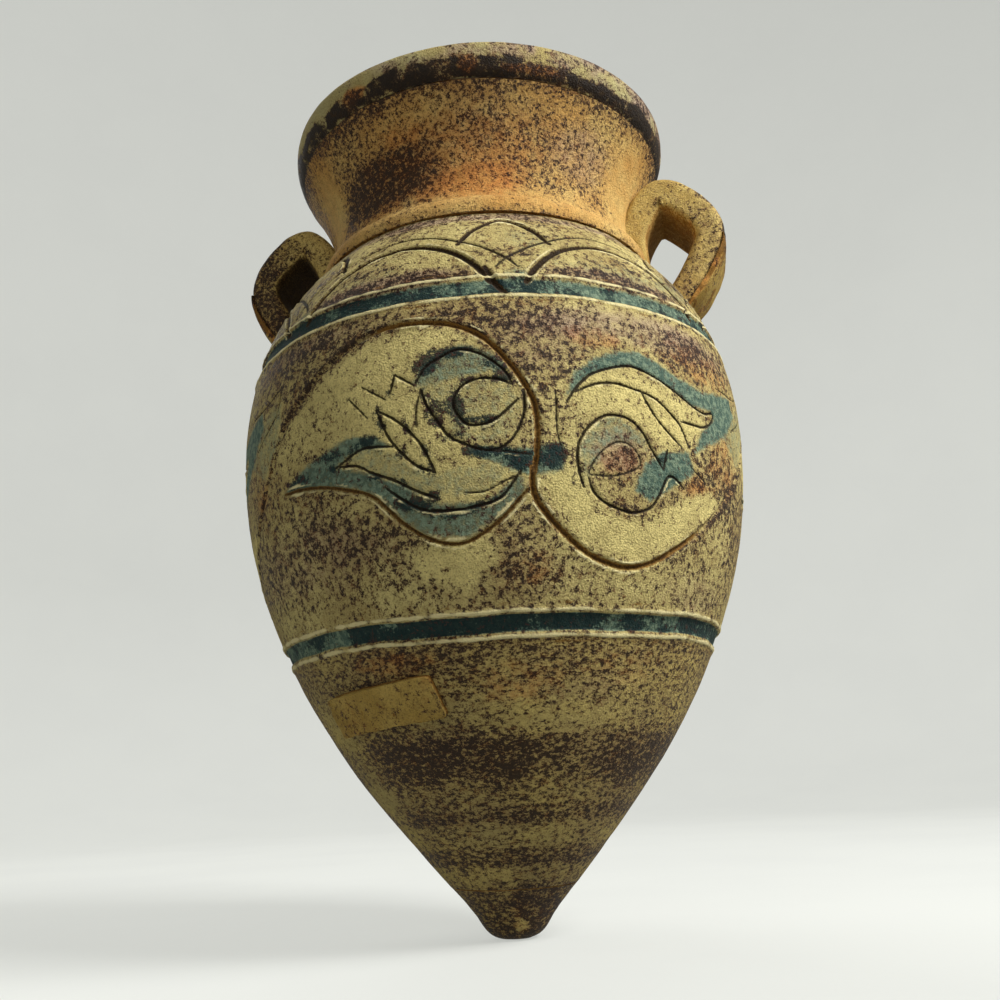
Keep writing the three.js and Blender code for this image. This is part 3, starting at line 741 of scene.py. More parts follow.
def inside_outline(x, y, corners, soft):
    """1 well inside a closed outline, 0 well outside it."""
    inside = np.zeros(len(x), bool)
    nearest = np.full(len(x), 1e9)
    for (ax, ay), (bx, by) in zip(corners, np.roll(corners, -1, axis=0)):
        across = (ay > y) != (by > y)
        level = np.where(by == ay, 1e-9, by - ay)
        inside ^= across & (x < (bx - ax) * (y - ay) / level + ax)
        span = (bx - ax) ** 2 + (by - ay) ** 2 + 1e-9
        share = np.clip(((x - ax) * (bx - ax) + (y - ay) * (by - ay)) / span, 0, 1)
        nearest = np.minimum(nearest, np.hypot(x - ax - share * (bx - ax), y - ay - share * (by - ay)))
    signed = np.where(inside, nearest, -nearest)
    return soft_step(signed, -soft, soft)


def patch_field(azimuth, height, patches):
    """Sum of soft round patches on the wall."""
    total = 0 * height
    for middle, level, half_width, half_height, amount in patches:
        aside = (azimuth - middle + 180) % FULL_TURN - 180
        away = np.hypot(aside / half_width, (height - level) / half_height)
        total = total + amount * (1 - soft_step(away, 0.35, 1.15))
    return total


incising = Incising()


def mark_tone(piece):
    """Slow change of the ground's colour."""
    coords = coords_of(piece)
    mark(piece, "tone", 0.5 + 0.8 * grain(coords, 26.0, 13.0) + 0.5 * grain(coords, 7.0, 17.0))


def wall_speckle(azimuth, height, drift):
    """Share of the wall that dark specks cover."""
    levels = np.array(SPECKLE_BY_HEIGHT)
    by_height = np.interp(height + 1.2 * drift, levels[:, 0], levels[:, 1])
    return by_height + patch_field(azimuth, height, SPECKLE_PATCHES) + SPECKLE_DRIFT * (drift - 0.1)


def scroll_paint(azimuth, height, coords, ragged):
    """Slip, teal paint and ink of the scroll, with ragged edges."""
    low, high = BELLY_PAINT
    on_belly = (height > low) & (height < high)
    aside, level = azimuth + 0.9 * ragged, height + 1.3 * grain(coords, 4.0, 29.0)
    slip = np.where(on_belly, area_field(aside, level, SLIP_AREAS, 3.0), 0.0)
    teal = np.where(on_belly, area_field(azimuth + 0.5 * ragged, height, TEAL_AREAS, 1.3), 0.0)
    local = folded(azimuth, FRIEZE_PERIOD, PAINT_MIDDLE)
    ink = np.where(on_belly, patch_field(local + 0.6 * ragged, level, INK_BLOTS), 0.0)
    return slip, teal, ink


def arch_drops(azimuth, height):
    """Drops of paint where two arches meet, over the band."""
    away, level, half_width, half_height = ARCH_DROP
    between = ARCH_MIDDLE + away
    aside = folded(azimuth, ARCH_PERIOD, between) - between
    return np.exp(-((aside / half_width) ** 2) - ((height - level) / half_height) ** 2)


def band_ink(azimuth, height, coords, drift):
    """Blue black in the sunk bands, blotchy and thinner on the right of the upper one."""
    pale_side = soft_step(azimuth, 14.0, 40.0) * soft_step(-azimuth, -150.0, -110.0) * (height > 150)
    blotch = grain(coords, 8.0, 67.0)
    return np.clip(0.76 + 0.5 * drift + 0.9 * blotch - 0.4 * pale_side, 0.05, 1.0)


def mark_wall(piece, outer):
    """Writes what the finish reads on the wall: paint, slip, speckle and tints."""
    azimuth, height, _ = around(piece)
    coords = on_wall(azimuth, height)
    drift = grain(coords, DRIFT_SIZE, 3.0) + 0.5 * grain(coords, DRIFT_SIZE / 2.6, 7.0)
    ragged = grain(coords, 5.0, 19.0) + 0.6 * grain(coords, 2.2, 23.0)
    slip, teal, ink = scroll_paint(azimuth, height, coords, ragged)
    sink, ridge, shade = band_field(azimuth, height)
    drop = arch_drops(azimuth, height)
    streaks = patch_field(azimuth, height + 2.0 * ragged, SHOULDER_TEAL)
    teal = np.maximum(np.maximum(teal, 0.75 * drop), streaks)
    ink = np.maximum(np.maximum(ink, sink * band_ink(azimuth, height, coords, drift)), 0.6 * drop)
    bare = (1 - 0.86 * slip) * (1 - 0.85 * np.maximum(teal - streaks, sink))
    warm = patch_field(azimuth, height, WARM_PATCHES) + 0.2 * ragged
    mark(piece, "teal", np.maximum(teal, 0.95 * sink) * outer)
    mark(piece, "ink", ink * outer)
    mark(piece, "slip", slip * outer)
    mark(piece, "speckle", wall_speckle(azimuth, height, drift) * bare * outer)
    mark(piece, "warm", warm * (1 - slip) * outer)
    mark(piece, "violet", (patch_field(azimuth, height, VIOLET_PATCHES) + 0.15 * drift) * outer)
    mark(piece, "inside", 1.0 - outer)
    mark_tone(piece)
    return sink, ridge, shade


def mark_lines(piece, outer):
    """Depth, stains and pale burrs of the incised lines at every vertex, in shares; beside thin lines the
    pale lies only on their lower right, a painted highlight of their lit side.
    """
    coords = coords_of(piece)
    azimuth = around(piece)[0]
    chosen = np.flatnonzero(outer)
    fields = {name: np.zeros(len(coords)) for name in ("cut", "brown", "black", "burr_and_highlight", "edge", "halo")}
    distance, tools, way = incising.near(coords[chosen])
    half_width, depth, brown, black = tools.T
    rough = distance + 0.14 * grain(coords[chosen], 1.6, 11.0)
    groove = np.clip(1 - (rough / half_width) ** 2, 0, 1)
    local = folded(azimuth[chosen], FRIEZE_PERIOD, FRIEZE_MIDDLE)
    worn = 1 - soft_step(local, STEM_WORN_BEFORE - 6, STEM_WORN_BEFORE + 6)
    worn += soft_step(local, STEM_WORN_AFTER - 5, STEM_WORN_AFTER + 5)
    worn = worn * (brown > 0.95)
    turn = np.radians(azimuth[chosen])
    aside = (way[:, 0] * np.cos(turn) + way[:, 1] * np.sin(turn)) / MM
    # Lower right side of a line: beside thin lines the pale burr lies only here, a painted highlight of
    # their lit side
    lit_side_highlight = soft_step((0.5 * aside - 0.85 * way[:, 2] / MM) / np.maximum(distance, 0.1), -0.5, 0.6)
    fields["cut"][chosen] = depth * groove**1.5 / CUT_DEEPEST
    fields["brown"][chosen] = groove * brown * (1 - 0.9 * worn)
    fields["black"][chosen] = groove * black
    blotted = np.clip(0.35 + 1.6 * grain(coords[chosen], 6.0, 35.0), 0, 1) * (local < 19)
    fields["halo"][chosen] = np.exp(-((rough / 2.3) ** 2)) * (black > 0.9) * blotted
    beside = np.exp(-(((rough - half_width) / 0.9) ** 2)) * (brown > 0.95)
    fields["edge"][chosen] = beside * (0.25 + 0.75 * worn)
    heap = np.exp(-(((rough - half_width - 0.35) / BURR_SPREAD) ** 2))
    patchy = np.clip(0.5 + 1.1 * grain(coords[chosen], 8.0, 5.0), 0.05, 1.0)
    one_sided = np.where(brown > 0.5, 1.0, lit_side_highlight)
    fields["burr_and_highlight"][chosen] = heap * patchy * one_sided * (1 - 0.6 * worn) * np.clip(depth + 0.1, 0, 1)
    return fields


# Finishes


def linear(colour):
    """Screen colour as the shader takes it."""
    shares = [c / 255 for c in colour]
    return [s / 12.92 if s <= 0.04045 else ((s + 0.055) / 1.055) ** 2.4 for s in shares] + [1.0]


class Finish:
    """A clay finish made of shader nodes on object coordinates."""

    def __init__(self, name, specular=CLAY_SPECULAR):
        self.material = bpy.data.materials.new(name)
        self.material.use_nodes = True
        self.nodes = self.material.node_tree.nodes
        self.links = self.material.node_tree.links
        self.shader = self.nodes["Principled BSDF"]
        self.shader.inputs["Specular IOR Level"].default_value = specular
        self.place = self.nodes.new("ShaderNodeTexCoord").outputs["Object"]

    def feed(self, socket, value):
        if isinstance(value, bpy.types.NodeSocket):
            self.links.new(value, socket)
        else:
            socket.default_value = value

    def noise(self, size, detail=2.0, rough=0.55, shift=0.0, squeeze=1.0):
        """Cloudy value round 0.5 with features of this size."""
        place = self.nodes.new("ShaderNodeMapping")
        place.inputs["Location"].default_value = (shift, -shift, 2 * shift)
        place.inputs["Scale"].default_value = (1.0, 1.0, squeeze)
        self.links.new(self.place, place.inputs["Vector"])
        clouds = self.nodes.new("ShaderNodeTexNoise")
        clouds.inputs["Scale"].default_value = 1 / (size * MM)
        clouds.inputs["Detail"].default_value = detail
        clouds.inputs["Roughness"].default_value = rough
        self.links.new(place.outputs["Vector"], clouds.inputs["Vector"])
        return clouds.outputs["Fac"]

    def mark(self, name):
        reader = self.nodes.new("ShaderNodeAttribute")
        reader.attribute_name = name
        return reader.outputs["Fac"]

    def math(self, kind, *values):
        node = self.nodes.new("ShaderNodeMath")
        node.operation = kind
        for socket, value in zip(node.inputs, values):
            self.feed(socket, value)
        return node.outputs[0]

    def step(self, value, low, high, start=0.0, end=1.0):
        """Soft step from one level to another."""
        node = self.nodes.new("ShaderNodeMapRange")
        node.interpolation_type = "SMOOTHSTEP"
        names = ("Value", "From Min", "From Max", "To Min", "To Max")
        for name, given in zip(names, (value, low, high, start, end)):
            self.feed(node.inputs[name], given)
        return node.outputs["Result"]

    def over(self, amount, under, top):
        """Colour of one layer over another."""
        node = self.nodes.new("ShaderNodeMix")
        node.data_type = "RGBA"
        self.feed(node.inputs[0], amount)
        for socket, colour in ((node.inputs[6], under), (node.inputs[7], top)):
            self.feed(socket, linear(colour) if isinstance(colour, tuple) else colour)
        return node.outputs[2]

    def swayed(self, value, clouds, share):
        """A value moved up and down by a cloudy one."""
        centred = self.math("SUBTRACT", clouds, 0.5)
        return self.math("MULTIPLY_ADD", centred, share, value)

    def add_clouds(self, speck_size, streak):
        """Cloudy values that the layers of a clay finish share."""
        self.grit = self.noise(0.6, 1, shift=2.1)
        self.brush = self.noise(2.0, 3, 0.66, shift=6.4, squeeze=streak)
        self.hue = self.noise(3.2, 2, 0.6, shift=5.7, squeeze=streak)
        self.clouds = self.noise(7.0, 3, 0.62, shift=8.3, squeeze=streak)
        sponge = self.noise(speck_size, 4, 0.88, shift=4.2, squeeze=streak)
        self.sponge = self.swayed(0.5, sponge, 1.5)

    def done(self, colour, roughness, height, distance):
        bump = self.nodes.new("ShaderNodeBump")
        bump.inputs["Strength"].default_value = BUMP_STRENGTH
        bump.inputs["Distance"].default_value = distance * MM
        self.links.new(height, bump.inputs["Height"])
        self.links.new(bump.outputs["Normal"], self.shader.inputs["Normal"])
        self.links.new(colour, self.shader.inputs["Base Color"])
        self.links.new(roughness, self.shader.inputs["Roughness"])
        return self.material


def tinted_ground(f, ground, deep, slip):
    """Slip-covered clay that turns orange, violet or pale, with grit in it."""
    warm, violet, clean = (f.swayed(f.mark(name), f.hue, share)
                           for name, share in (("warm", 0.9), ("violet", 0.9), ("slip", 0.7)))
    colour = f.over(f.mark("tone"), ground, deep)
    colour = f.over(f.step(warm, 0.1, 1.2, 0.0, 0.85), colour, ORANGE)
    colour = f.over(f.step(violet, 0.1, 1.2, 0.0, 0.75), colour, VIOLET_GREY)
    colour = f.over(f.step(clean, 0.15, 0.9, 0.0, 0.9), colour, slip)
    colour = f.over(f.step(f.clouds, 0.44, 0.64, 0.0, 0.4), colour, deep)
    colour = f.over(f.step(f.hue, 0.42, 0.7, 0.0, 0.2), colour, GRIT)
    return f.over(f.step(f.grit, 0.45, 0.72, 0.0, 0.42), colour, GRIT)


def teal_paint(f, colour):
    """Teal paint, thin and brushed, with blue black blots in it."""
    ink = f.mark("ink")
    cover = f.step(f.swayed(f.mark("teal"), f.brush, 1.0), 0.12, 0.9, 0.0, 0.94)
    colour = f.over(cover, colour, f.over(f.step(f.brush, 0.4, 0.64), TEAL_DEEP, TEAL_PALE))
    blots = f.step(f.math("MULTIPLY_ADD", ink, 0.45, f.sponge), 0.62, 0.78, 0.0, 0.92)
    return f.over(f.math("MULTIPLY", blots, f.step(ink, 0.03, 0.2)), colour, TEAL_BLACK)


def sponged_specks(f, colour):
    """A thin wash, then sponged specks with darker cores; also gives where the specks lie."""
    speckle, warm = f.mark("speckle"), f.mark("warm")
    present = f.step(speckle, 0.02, 0.14)
    wash = f.over(f.mark("violet"), WASH_BROWN, WASH_VIOLET)
    colour = f.over(f.step(speckle, 0.25, 1.1, 0.0, 0.3), colour, wash)
    density = f.math("MULTIPLY_ADD", speckle, 0.32, f.sponge)
    covered = f.math("MULTIPLY", f.step(density, 0.64, 0.71), present)
    cores = f.math("MULTIPLY", f.step(density, 0.7, 0.77), present)
    speck_colour = f.over(f.step(f.swayed(f.hue, warm, 0.3), 0.36, 0.6), PURPLE_BROWN, RUST_BROWN)
    colour = f.over(f.math("MULTIPLY", covered, 0.7), colour, speck_colour)
    return f.over(f.math("MULTIPLY", cores, 0.9), colour, BLACK_BROWN), covered


def incised_stain(f, colour):
    """Brown and black in the incised lines, and pale burrs beside them; on one side of thin lines that pale
    is a painted highlight.
    """
    brown = f.swayed(f.swayed(f.mark("brown"), f.grit, 0.5), f.brush, 0.7)
    black = f.swayed(f.mark("black"), f.grit, 0.3)
    burr_and_highlight = f.swayed(f.mark("burr_and_highlight"), f.brush, 0.6)
    colour = f.over(f.step(brown, 0.25, 0.65, 0.0, 0.92), colour, CUT_BROWN)
    colour = f.over(f.step(brown, 0.7, 1.0, 0.0, 0.85), colour, CUT_DARK)
    colour = f.over(f.step(black, 0.12, 0.55, 0.0, 0.92), colour, CUT_BLACK)
    # Pale burrs and band ridges; beside thin lines partly a painted highlight
    return f.over(f.step(burr_and_highlight, 0.26, 0.7, 0.0, 0.9), colour, BURR_PALE_AND_HIGHLIGHT)


def speckled_clay(name, ground, deep, slip, speck_size=2.3, streak=1.0):
    """Clay with slip, tints, teal paint, specks and incised lines, and plain clay inside the jar."""
    f = Finish(name)
    f.add_clouds(speck_size, streak)
    colour = teal_paint(f, tinted_ground(f, ground, deep, slip))
    colour, covered = sponged_specks(f, colour)
    colour = incised_stain(f, colour)
    plain = f.over(f.step(f.hue, 0.38, 0.66, 0.2, 0.6), RAW_CLAY, OCHRE_DEEP)
    colour = f.over(f.mark("inside"), colour, plain)
    roughness = f.step(covered, 0.0, 1.0, 0.84, 0.66)
    height = f.math("MULTIPLY_ADD", covered, 0.25, f.math("MULTIPLY_ADD", f.brush, 0.9, f.grit))
    return f.done(colour, roughness, height, CLAY_BUMP)


painted_clay = speckled_clay("painted_clay_finish", SLIP_GREEN, SLIP_SHADE, SLIP_PALE)
cone_clay = speckled_clay("cone_clay_finish", CONE_PALE, SLIP_SHADE, SLIP_PALE, 2.2, 1.6)
ochre_clay = speckled_clay("ochre_clay_finish", OCHRE, OCHRE_DEEP, OCHRE, 1.7)
lip_clay = speckled_clay("lip_clay_finish", LIP_GREEN, SLIP_SHADE, LIP_GREEN, 2.0)
dark_clay = speckled_clay("dark_clay_finish", CONE_PALE, SLIP_SHADE, SLIP_PALE, 2.2, 1.6)
strap_clay = speckled_clay("strap_clay_finish", STRAP_TAN, STRAP_DEEP, OCHRE, 1.5)
bare_clay = speckled_clay("bare_clay_finish", TAN, TAN_DEEP, OCHRE, 1.8)


# Thrown sections


def work_surface(piece, outer):
    """Bands, incised lines and hand-made unevenness, pressed into the outside, and their marks."""
    sink, ridge, shade = mark_wall(piece, outer)
    lines = mark_lines(piece, outer)
    coords = coords_of(piece)
    crumbly = np.clip(0.75 + 0.6 * grain(coords, 4.0, 21.0), 0.2, 1.0)
    uneven(piece, "wobble", WOBBLE_SIZE, WOBBLE_DEPTH)
    uneven(piece, "dents", DENT_SIZE, DENT_DEPTH)
    press(piece, "sunk_band", sink * outer, -BAND_DEPTH)
    press(piece, "incised", lines["cut"], -CUT_DEEPEST)
    press(piece, "raised_edge", ridge * crumbly * outer, RIDGE_HEIGHT)
    press(piece, "raised_burr", lines["burr_and_highlight"], BURR_HEIGHT)
    streaky = np.clip(0.55 + 0.9 * grain(coords, 7.0, 25.0), 0.0, 1.0)
    mark(piece, "brown", np.maximum(lines["brown"], 0.5 * shade * streaky * outer))
    mark(piece, "black", lines["black"])
    # Pale burrs and band ridges; beside thin lines partly a painted highlight
    mark(piece, "burr_and_highlight", np.maximum(lines["burr_and_highlight"], ridge * crumbly * outer))
    add_to_mark(piece, "speckle", 0.35 * lines["edge"])
    add_to_mark(piece, "ink", 0.75 * lines["halo"])


def outer_face(piece):
    """Height of every vertex, and whether it lies on the outside of the wall."""
    _, height, radius = around(piece)
    return height, np.abs(radius - radius_at(height)) < OUTER_WITHIN


def near_detail(piece):
    """Vertices close to an incised line or the edge of a band."""
    height, outer = outer_face(piece)
    chosen = np.flatnonzero(outer)
    distance, tools, _ = incising.near(coords_of(piece)[chosen])
    near = np.zeros(len(height), bool)
    near[chosen] = distance < tools[:, 0] + FINE_MARGIN
    for edge_low, width in BANDS:
        for middle in (edge_low + FINE_SHIFT, edge_low + width - FINE_SHIFT):
            near |= outer & (np.abs(height - middle) < FINE_HALF)
    return near


def thrown_section(name, low, high):
    """Wall between two seams, spun from its outside and inside lines and worked on the outside."""
    outside = outside_between(low, high)
    piece = new_piece(name)
    draw_line(spaced(outside, OUTSIDE_STEP))
    draw_line(spaced(inset(outside, WALL_THICKNESS), INSIDE_STEP))
    spin_all(TURN_STEPS)
    near = near_detail(piece)
    if near.any():
        subdivide_where(piece, near)
    work_surface(piece, outer_face(piece)[1])
    close_ends(piece)
    return piece


base_cone = thrown_section("base_cone_wall", TOE_TOP, LOWER_BAND)
finish_piece(base_cone, cone_clay, "painted_clay", "base_cone")
belly = thrown_section("belly_wall_scroll", LOWER_BAND, UPPER_BAND)
finish_piece(belly, painted_clay, "painted_clay", "belly_wall")
shoulder = thrown_section("shoulder_arches", UPPER_BAND, NECK_FOOT)
finish_piece(shoulder, painted_clay, "painted_clay", "shoulder")
neck = thrown_section("neck_flare", NECK_FOOT, LIP_FOOT)
finish_piece(neck, ochre_clay, "ochre_clay", "neck")


def lip_outline():
    """Closed outline of the rolled lip, from its outer foot over the top to its inner foot."""
    foot = inset(outside_between(LIP_FOOT - 4.0, LIP_FOOT), WALL_THICKNESS)[-1]
    land = np.array([LIP_ROLL[-1], LIP_MOUTH[0]])
    return np.vstack([bezier(LIP_ROLL), land, bezier(LIP_MOUTH), foot, LIP_ROLL[0]])


def rolled_lip():
    piece = new_piece("rolled_lip")
    draw_line(spaced(lip_outline(), LIP_STEP))
    spin_all(TURN_STEPS)
    azimuth, height, radius = around(piece)
    coords = coords_of(piece)
    outer = (radius > LIP_INSIDE).astype(float)
    sway = grain(coords, 14.0, 31.0) + 0.6 * grain(coords, 5.0, 33.0)
    right = soft_step(azimuth, 5.0, 45.0) * (1 - soft_step(azimuth, 110.0, 150.0))
    top_edge = LIP_LINE_TOP + 1.8 * sway - 1.4 * right
    low_edge = LIP_LINE_LOW + 1.2 * grain(coords, 6.0, 37.0)
    line = 1 - soft_step(height, top_edge - 0.8, top_edge + 1.4)
    line *= 0.35 + 0.65 * soft_step(height, low_edge - 0.8, low_edge + 1.0)
    blotchy = grain(coords, 5.0, 39.0) + 0.7 * grain(coords, 2.2, 47.0)
    mottled = np.clip(0.22 + 0.5 * sway + 0.3 * right, 0, 0.75)
    mark(piece, "speckle", outer * np.clip(mottled + line * (0.8 + 0.4 * blotchy), 0, 1))
    rusty = patch_field(azimuth, height, LIP_RUST)
    mark(piece, "warm", outer * (rusty + line * np.clip(0.25 + 0.9 * blotchy, 0, 0.7)))
    mark(piece, "violet", outer * (1 - line) * np.clip(0.3 + 0.5 * right + sway, 0, 1))
    mark(piece, "black", outer * 0.78 * line * np.clip(0.72 + 0.9 * blotchy, 0, 1) * (1 - rusty))
    mark(piece, "inside", 1 - outer)
    mark_tone(piece)
    uneven(piece, "wobble", WOBBLE_SIZE, WOBBLE_DEPTH)
    uneven(piece, "dents", DENT_SIZE, DENT_DEPTH)
    return piece


finish_piece(rolled_lip(), lip_clay, "lip_clay", "rim_lip")


def solid_toe():
    """Solid point, from its flat end to the first seam."""
    wall = outside_between(TOE_ROUND_TOP, TOE_TOP)
    rounded = bezier((*TOE_ROUND, wall[0]))
    floor = np.array([inset(wall, WALL_THICKNESS)[-1], (0.0, TOE_FLOOR)])
    end = np.array([(0.0, 0.0), TOE_ROUND[0]])
    piece = new_piece("toe_point")
    draw_line(spaced(np.vstack([end, rounded[1:], wall[1:], floor]), TOE_STEP))
    spin_all(TURN_STEPS // 3)
    _, height, radius = around(piece)
    mark_wall(piece, (height < TOE_TOP - 0.1).astype(float) * (radius > 0.5 * height))
    uneven(piece, "wobble", WOBBLE_SIZE, WOBBLE_DEPTH)
    uneven(piece, "dents", DENT_SIZE, 2 * DENT_DEPTH)
    places = coords_of(piece)
    settled = places[:, 2].min() * (1 - soft_step(height, 0.0, TOE_SETTLE))
    places[:, 2] -= np.where(height < 0.05, places[:, 2], settled)
    place_vertices(piece, places)
    return piece


finish_piece(solid_toe(), dark_clay, "dark_clay", "toe")


# Handles


def strap_line():
    return smooth_through(STRAP_LINE, STRAP_STEP)


def strap_section(thickness):
    """Rounded outline of the strap, as places across its width and its thickness."""
    half_width, half = STRAP_WIDTH / 2 - STRAP_ROUND, thickness / 2 - STRAP_ROUND
    corners = []
    for start, (sx, sy) in enumerate(((1, 1), (-1, 1), (-1, -1), (1, -1))):
        turns = np.radians(90 * start + np.linspace(0, 90, CORNER_STEPS))
        corners.append(np.stack([sx * half_width + STRAP_ROUND * np.cos(turns),
                                 sy * half + STRAP_ROUND * np.sin(turns)], axis=1))
    return np.vstack([*corners, corners[0][:1]])


def strap_rings():
    """Rings of the strap along its line, as places of row, place in the ring and XYZ."""
    line = spaced(strap_line(), STRAP_STEP)
    rows = spaced(line, lengths_along(line)[-1] / STRAP_ROWS)
    knots, full = np.array(STRAP_THICKNESS), np.array(STRAP_FULLNESS)
    rings = []
    for (reach, rise), (dx, dz), share in zip(rows, directions(rows), np.linspace(0, 1, len(rows))):
        thickness = np.interp(share, knots[:, 0], knots[:, 1])
        inner, outer = (np.interp(share, full[:, 0], full[:, side]) for side in (1, 2))
        section = spaced(strap_section(thickness + inner + outer), SECTION_STEP)
        section[:, 1] += (outer - inner) / 2
        rings.append(np.array([(reach - dz * t, y, rise + dx * t) for y, t in section]))
    count = min(len(ring) for ring in rings)
    return np.array([resampled(ring, count) for ring in rings])


def strap_handle(name, side):
    """Bent strap of rounded section, bedded a little way into the wall at both roots."""
    rings = strap_rings()
    rows, count, _ = rings.shape
    piece = flat_grid(name, count - 1, rows - 1, MM)
    places = rings.reshape(-1, 3).copy()
    radius = np.hypot(places[:, 0], places[:, 1])
    deepest = radius_at(places[:, 2]) - STRAP_BEDDING
    push = np.where(radius < deepest, deepest / np.maximum(radius, 1.0), 1.0)
    places[:, :2] *= push[:, None]
    places[:, :2] *= side
    place_vertices(piece, places * MM)
    bpy.ops.object.mode_set(mode="EDIT")
    bpy.ops.mesh.select_all(action="SELECT")
    bpy.ops.mesh.remove_doubles(threshold=MERGE_WITHIN * MM)
    bpy.ops.mesh.fill_holes(sides=0)
    bpy.ops.object.mode_set(mode="OBJECT")
    face_outwards()
    mark_strap(piece, side)
    uneven(piece, "wobble", *STRAP_WOBBLE)
    uneven(piece, "dents", *STRAP_DENTS)
    return piece


def along_strap(coords, side):
    """Distance of each place from the strap's middle line, outwards, and its share of the way along."""
    line = strap_line()
    along = directions(line)
    tree = KDTree(len(line))
    for index, (reach, rise) in enumerate(line):
        tree.insert((reach, 0.0, rise), index)
    tree.balance()
    across, share = [], []
    for x, _, z in coords / MM:
        index = tree.find((x * side, 0.0, z))[1]
        step = np.array([x * side, z]) - line[index]
        across.append(step @ (-along[index][1], along[index][0]))
        share.append(index / len(line))
    return np.array(across), np.array(share)


def mark_strap(piece, side):
    """Outer face mottled and dark at its edges, inner face brown, clean at the neck. The inner brown is
    partly stain and partly painted shade; the left strap gets painted shade as black inside and more
    speckle outside.
    """
    coords = coords_of(piece)
    across, share = along_strap(coords, side)
    outward = soft_step(across, 1.0, 6.0)
    inward = soft_step(-across, 5.4, 7.4)
    bow = soft_step(share, 0.35, 0.6)
    sway = grain(coords, 7.0, 41.0 + side) + 0.6 * grain(coords, 2.4, 43.0)
    crown = np.exp(-(((share - 0.36) / 0.07) ** 2)) * soft_step(-across, 1.5, 4.5) * (1 - inward)
    rim = soft_step(across, 3.0, 6.0) * bow
    speckle = 0.1 + 0.22 * bow + 0.4 * rim + 0.5 * crown + 0.3 * sway * bow
    mark(piece, "speckle", (speckle + STRAP_OUTER_MOTTLE_AND_SHADE[side] * (0.4 + bow)) * (1 - inward))
    mark(piece, "violet", 0.3 * bow * (1 - inward))
    # Warm brown on the inner face: the clay's stain and painted shade
    mark(piece, "warm", 0.5 * inward + 0.25 * (sway > 0.75))
    mark(piece, "brown", np.maximum(0.52 * inward, 0.4 * outward * bow * (sway > 0.45)))
    # Black on the left strap's inner face is painted shade
    mark(piece, "black", np.maximum(STRAP_INNER_PAINTED_SHADE[side] * inward, 0.5 * rim * (sway > 0.25)))
    mark_tone(piece)


for side, hand in SIDES:
    handle = strap_handle(hand + "_strap", side)
    finish_piece(handle, strap_clay, "ochre_clay", hand + "_handle")


def wad_places(unit):
    """Places of a flat grid's corners once it lies over the outer root of a strap."""
    line = strap_line()
    along = directions(line)
    share = np.interp(unit[:, 1], (-1, 1), WAD_SHARES)
    index = np.clip(np.rint(share * (len(line) - 1)).astype(int), 0, len(line) - 1)
    knots = np.array(STRAP_THICKNESS)
    bed = np.interp(share, knots[:, 0], knots[:, 1]) / 2
    ends = np.clip(1 - unit[:, 1] ** 2, 0, 1)
    sides = np.clip(1 - np.abs(unit[:, 0]) ** 6, 0, 1) ** 0.5
    out = bed + WAD_EDGE + WAD_BULGE * ends * sides - (1 - sides) * WAD_SINK
    outward = np.stack([-along[index][:, 1], along[index][:, 0]], axis=1)
    middle = line[index] + outward * out[:, None]
    return np.stack([middle[:, 0], unit[:, 0] * WAD_WIDTH / 2, middle[:, 1]], axis=1)


def root_wad(name, side):
    """Clay smeared over the outer root of a strap, thin at both ends."""
    piece = flat_grid(name, WAD_COLUMNS, WAD_ROWS)
    places = wad_places(coords_of(piece)[:, :2])
    places[:, :2] *= side
    place_vertices(piece, places * MM)
    face_outwards()
    thicken(piece, WAD_SINK)
    coords = coords_of(piece)
    sway = grain(coords, 6.0, 51.0 + side)
    edge = soft_step(np.abs(coords[:, 1]) / MM, WAD_WIDTH / 2 - 2.0, WAD_WIDTH / 2 - 0.4)
    height = coords[:, 2] / MM + 2.5 * sway
    upper = soft_step(height, height.max() - WAD_MEETING, height.max() - 2.0)
    # More speckle on the left wad: its dark mottling and painted shade
    mark(piece, "speckle", 0.26 + 0.35 * sway + 0.6 * upper + STRAP_OUTER_MOTTLE_AND_SHADE[side])
    mark(piece, "black", 0.5 * upper * (sway > 0.2))
    mark(piece, "warm", np.clip(0.2 + 0.6 * sway + 0.8 * edge, 0, 1))
    mark(piece, "brown", np.clip(1.2 * grain(coords, 4.5, 55.0) + 0.5 * edge, 0, 0.8))
    mark_tone(piece)
    uneven(piece, "wobble", *WAD_WOBBLE)
    return piece


for side, hand in SIDES:
    wad = root_wad(hand + "_root_wad", side)
    finish_piece(wad, bare_clay, "bare_clay", hand + "_handle_wad")


# Tablet


def tablet_places(unit):
    """Places of a flat grid's corners once it lies round the cone, rounded at its own corners."""
    half = np.array([TABLET_LENGTH, TABLET_HEIGHT]) / 2
    flat = unit * half
    core = np.clip(flat, -(half - TABLET_ROUND), half - TABLET_ROUND)
    beyond = flat - core
    length = np.linalg.norm(beyond, axis=1)
    both = (np.abs(beyond) > 1e-6).all(axis=1)
    squeeze = np.where(both, np.abs(beyond).max(axis=1) / np.maximum(length, 1e-6), 1.0)
    flat = core + beyond * squeeze[:, None]
    tilt = math.radians(TABLET_TILT)
    aside = flat[:, 0] * math.cos(tilt) - flat[:, 1] * math.sin(tilt)
    rise = flat[:, 0] * math.sin(tilt) + flat[:, 1] * math.cos(tilt)
    slope = np.gradient(OUTSIDE[:, 0]) / np.gradient(OUTSIDE[:, 1])
    lean = np.arctan(np.interp(TABLET_MIDDLE, OUTSIDE[:, 1], slope))
    height = TABLET_MIDDLE + rise * math.cos(lean)
    radius = radius_at(height)
    azimuth = TABLET_AZIMUTH + np.degrees(aside / radius)
    places = on_wall(azimuth, height, radius + TABLET_PROUD * math.cos(lean))
    places[:, 2] -= TABLET_PROUD * math.sin(lean) * MM
    return places


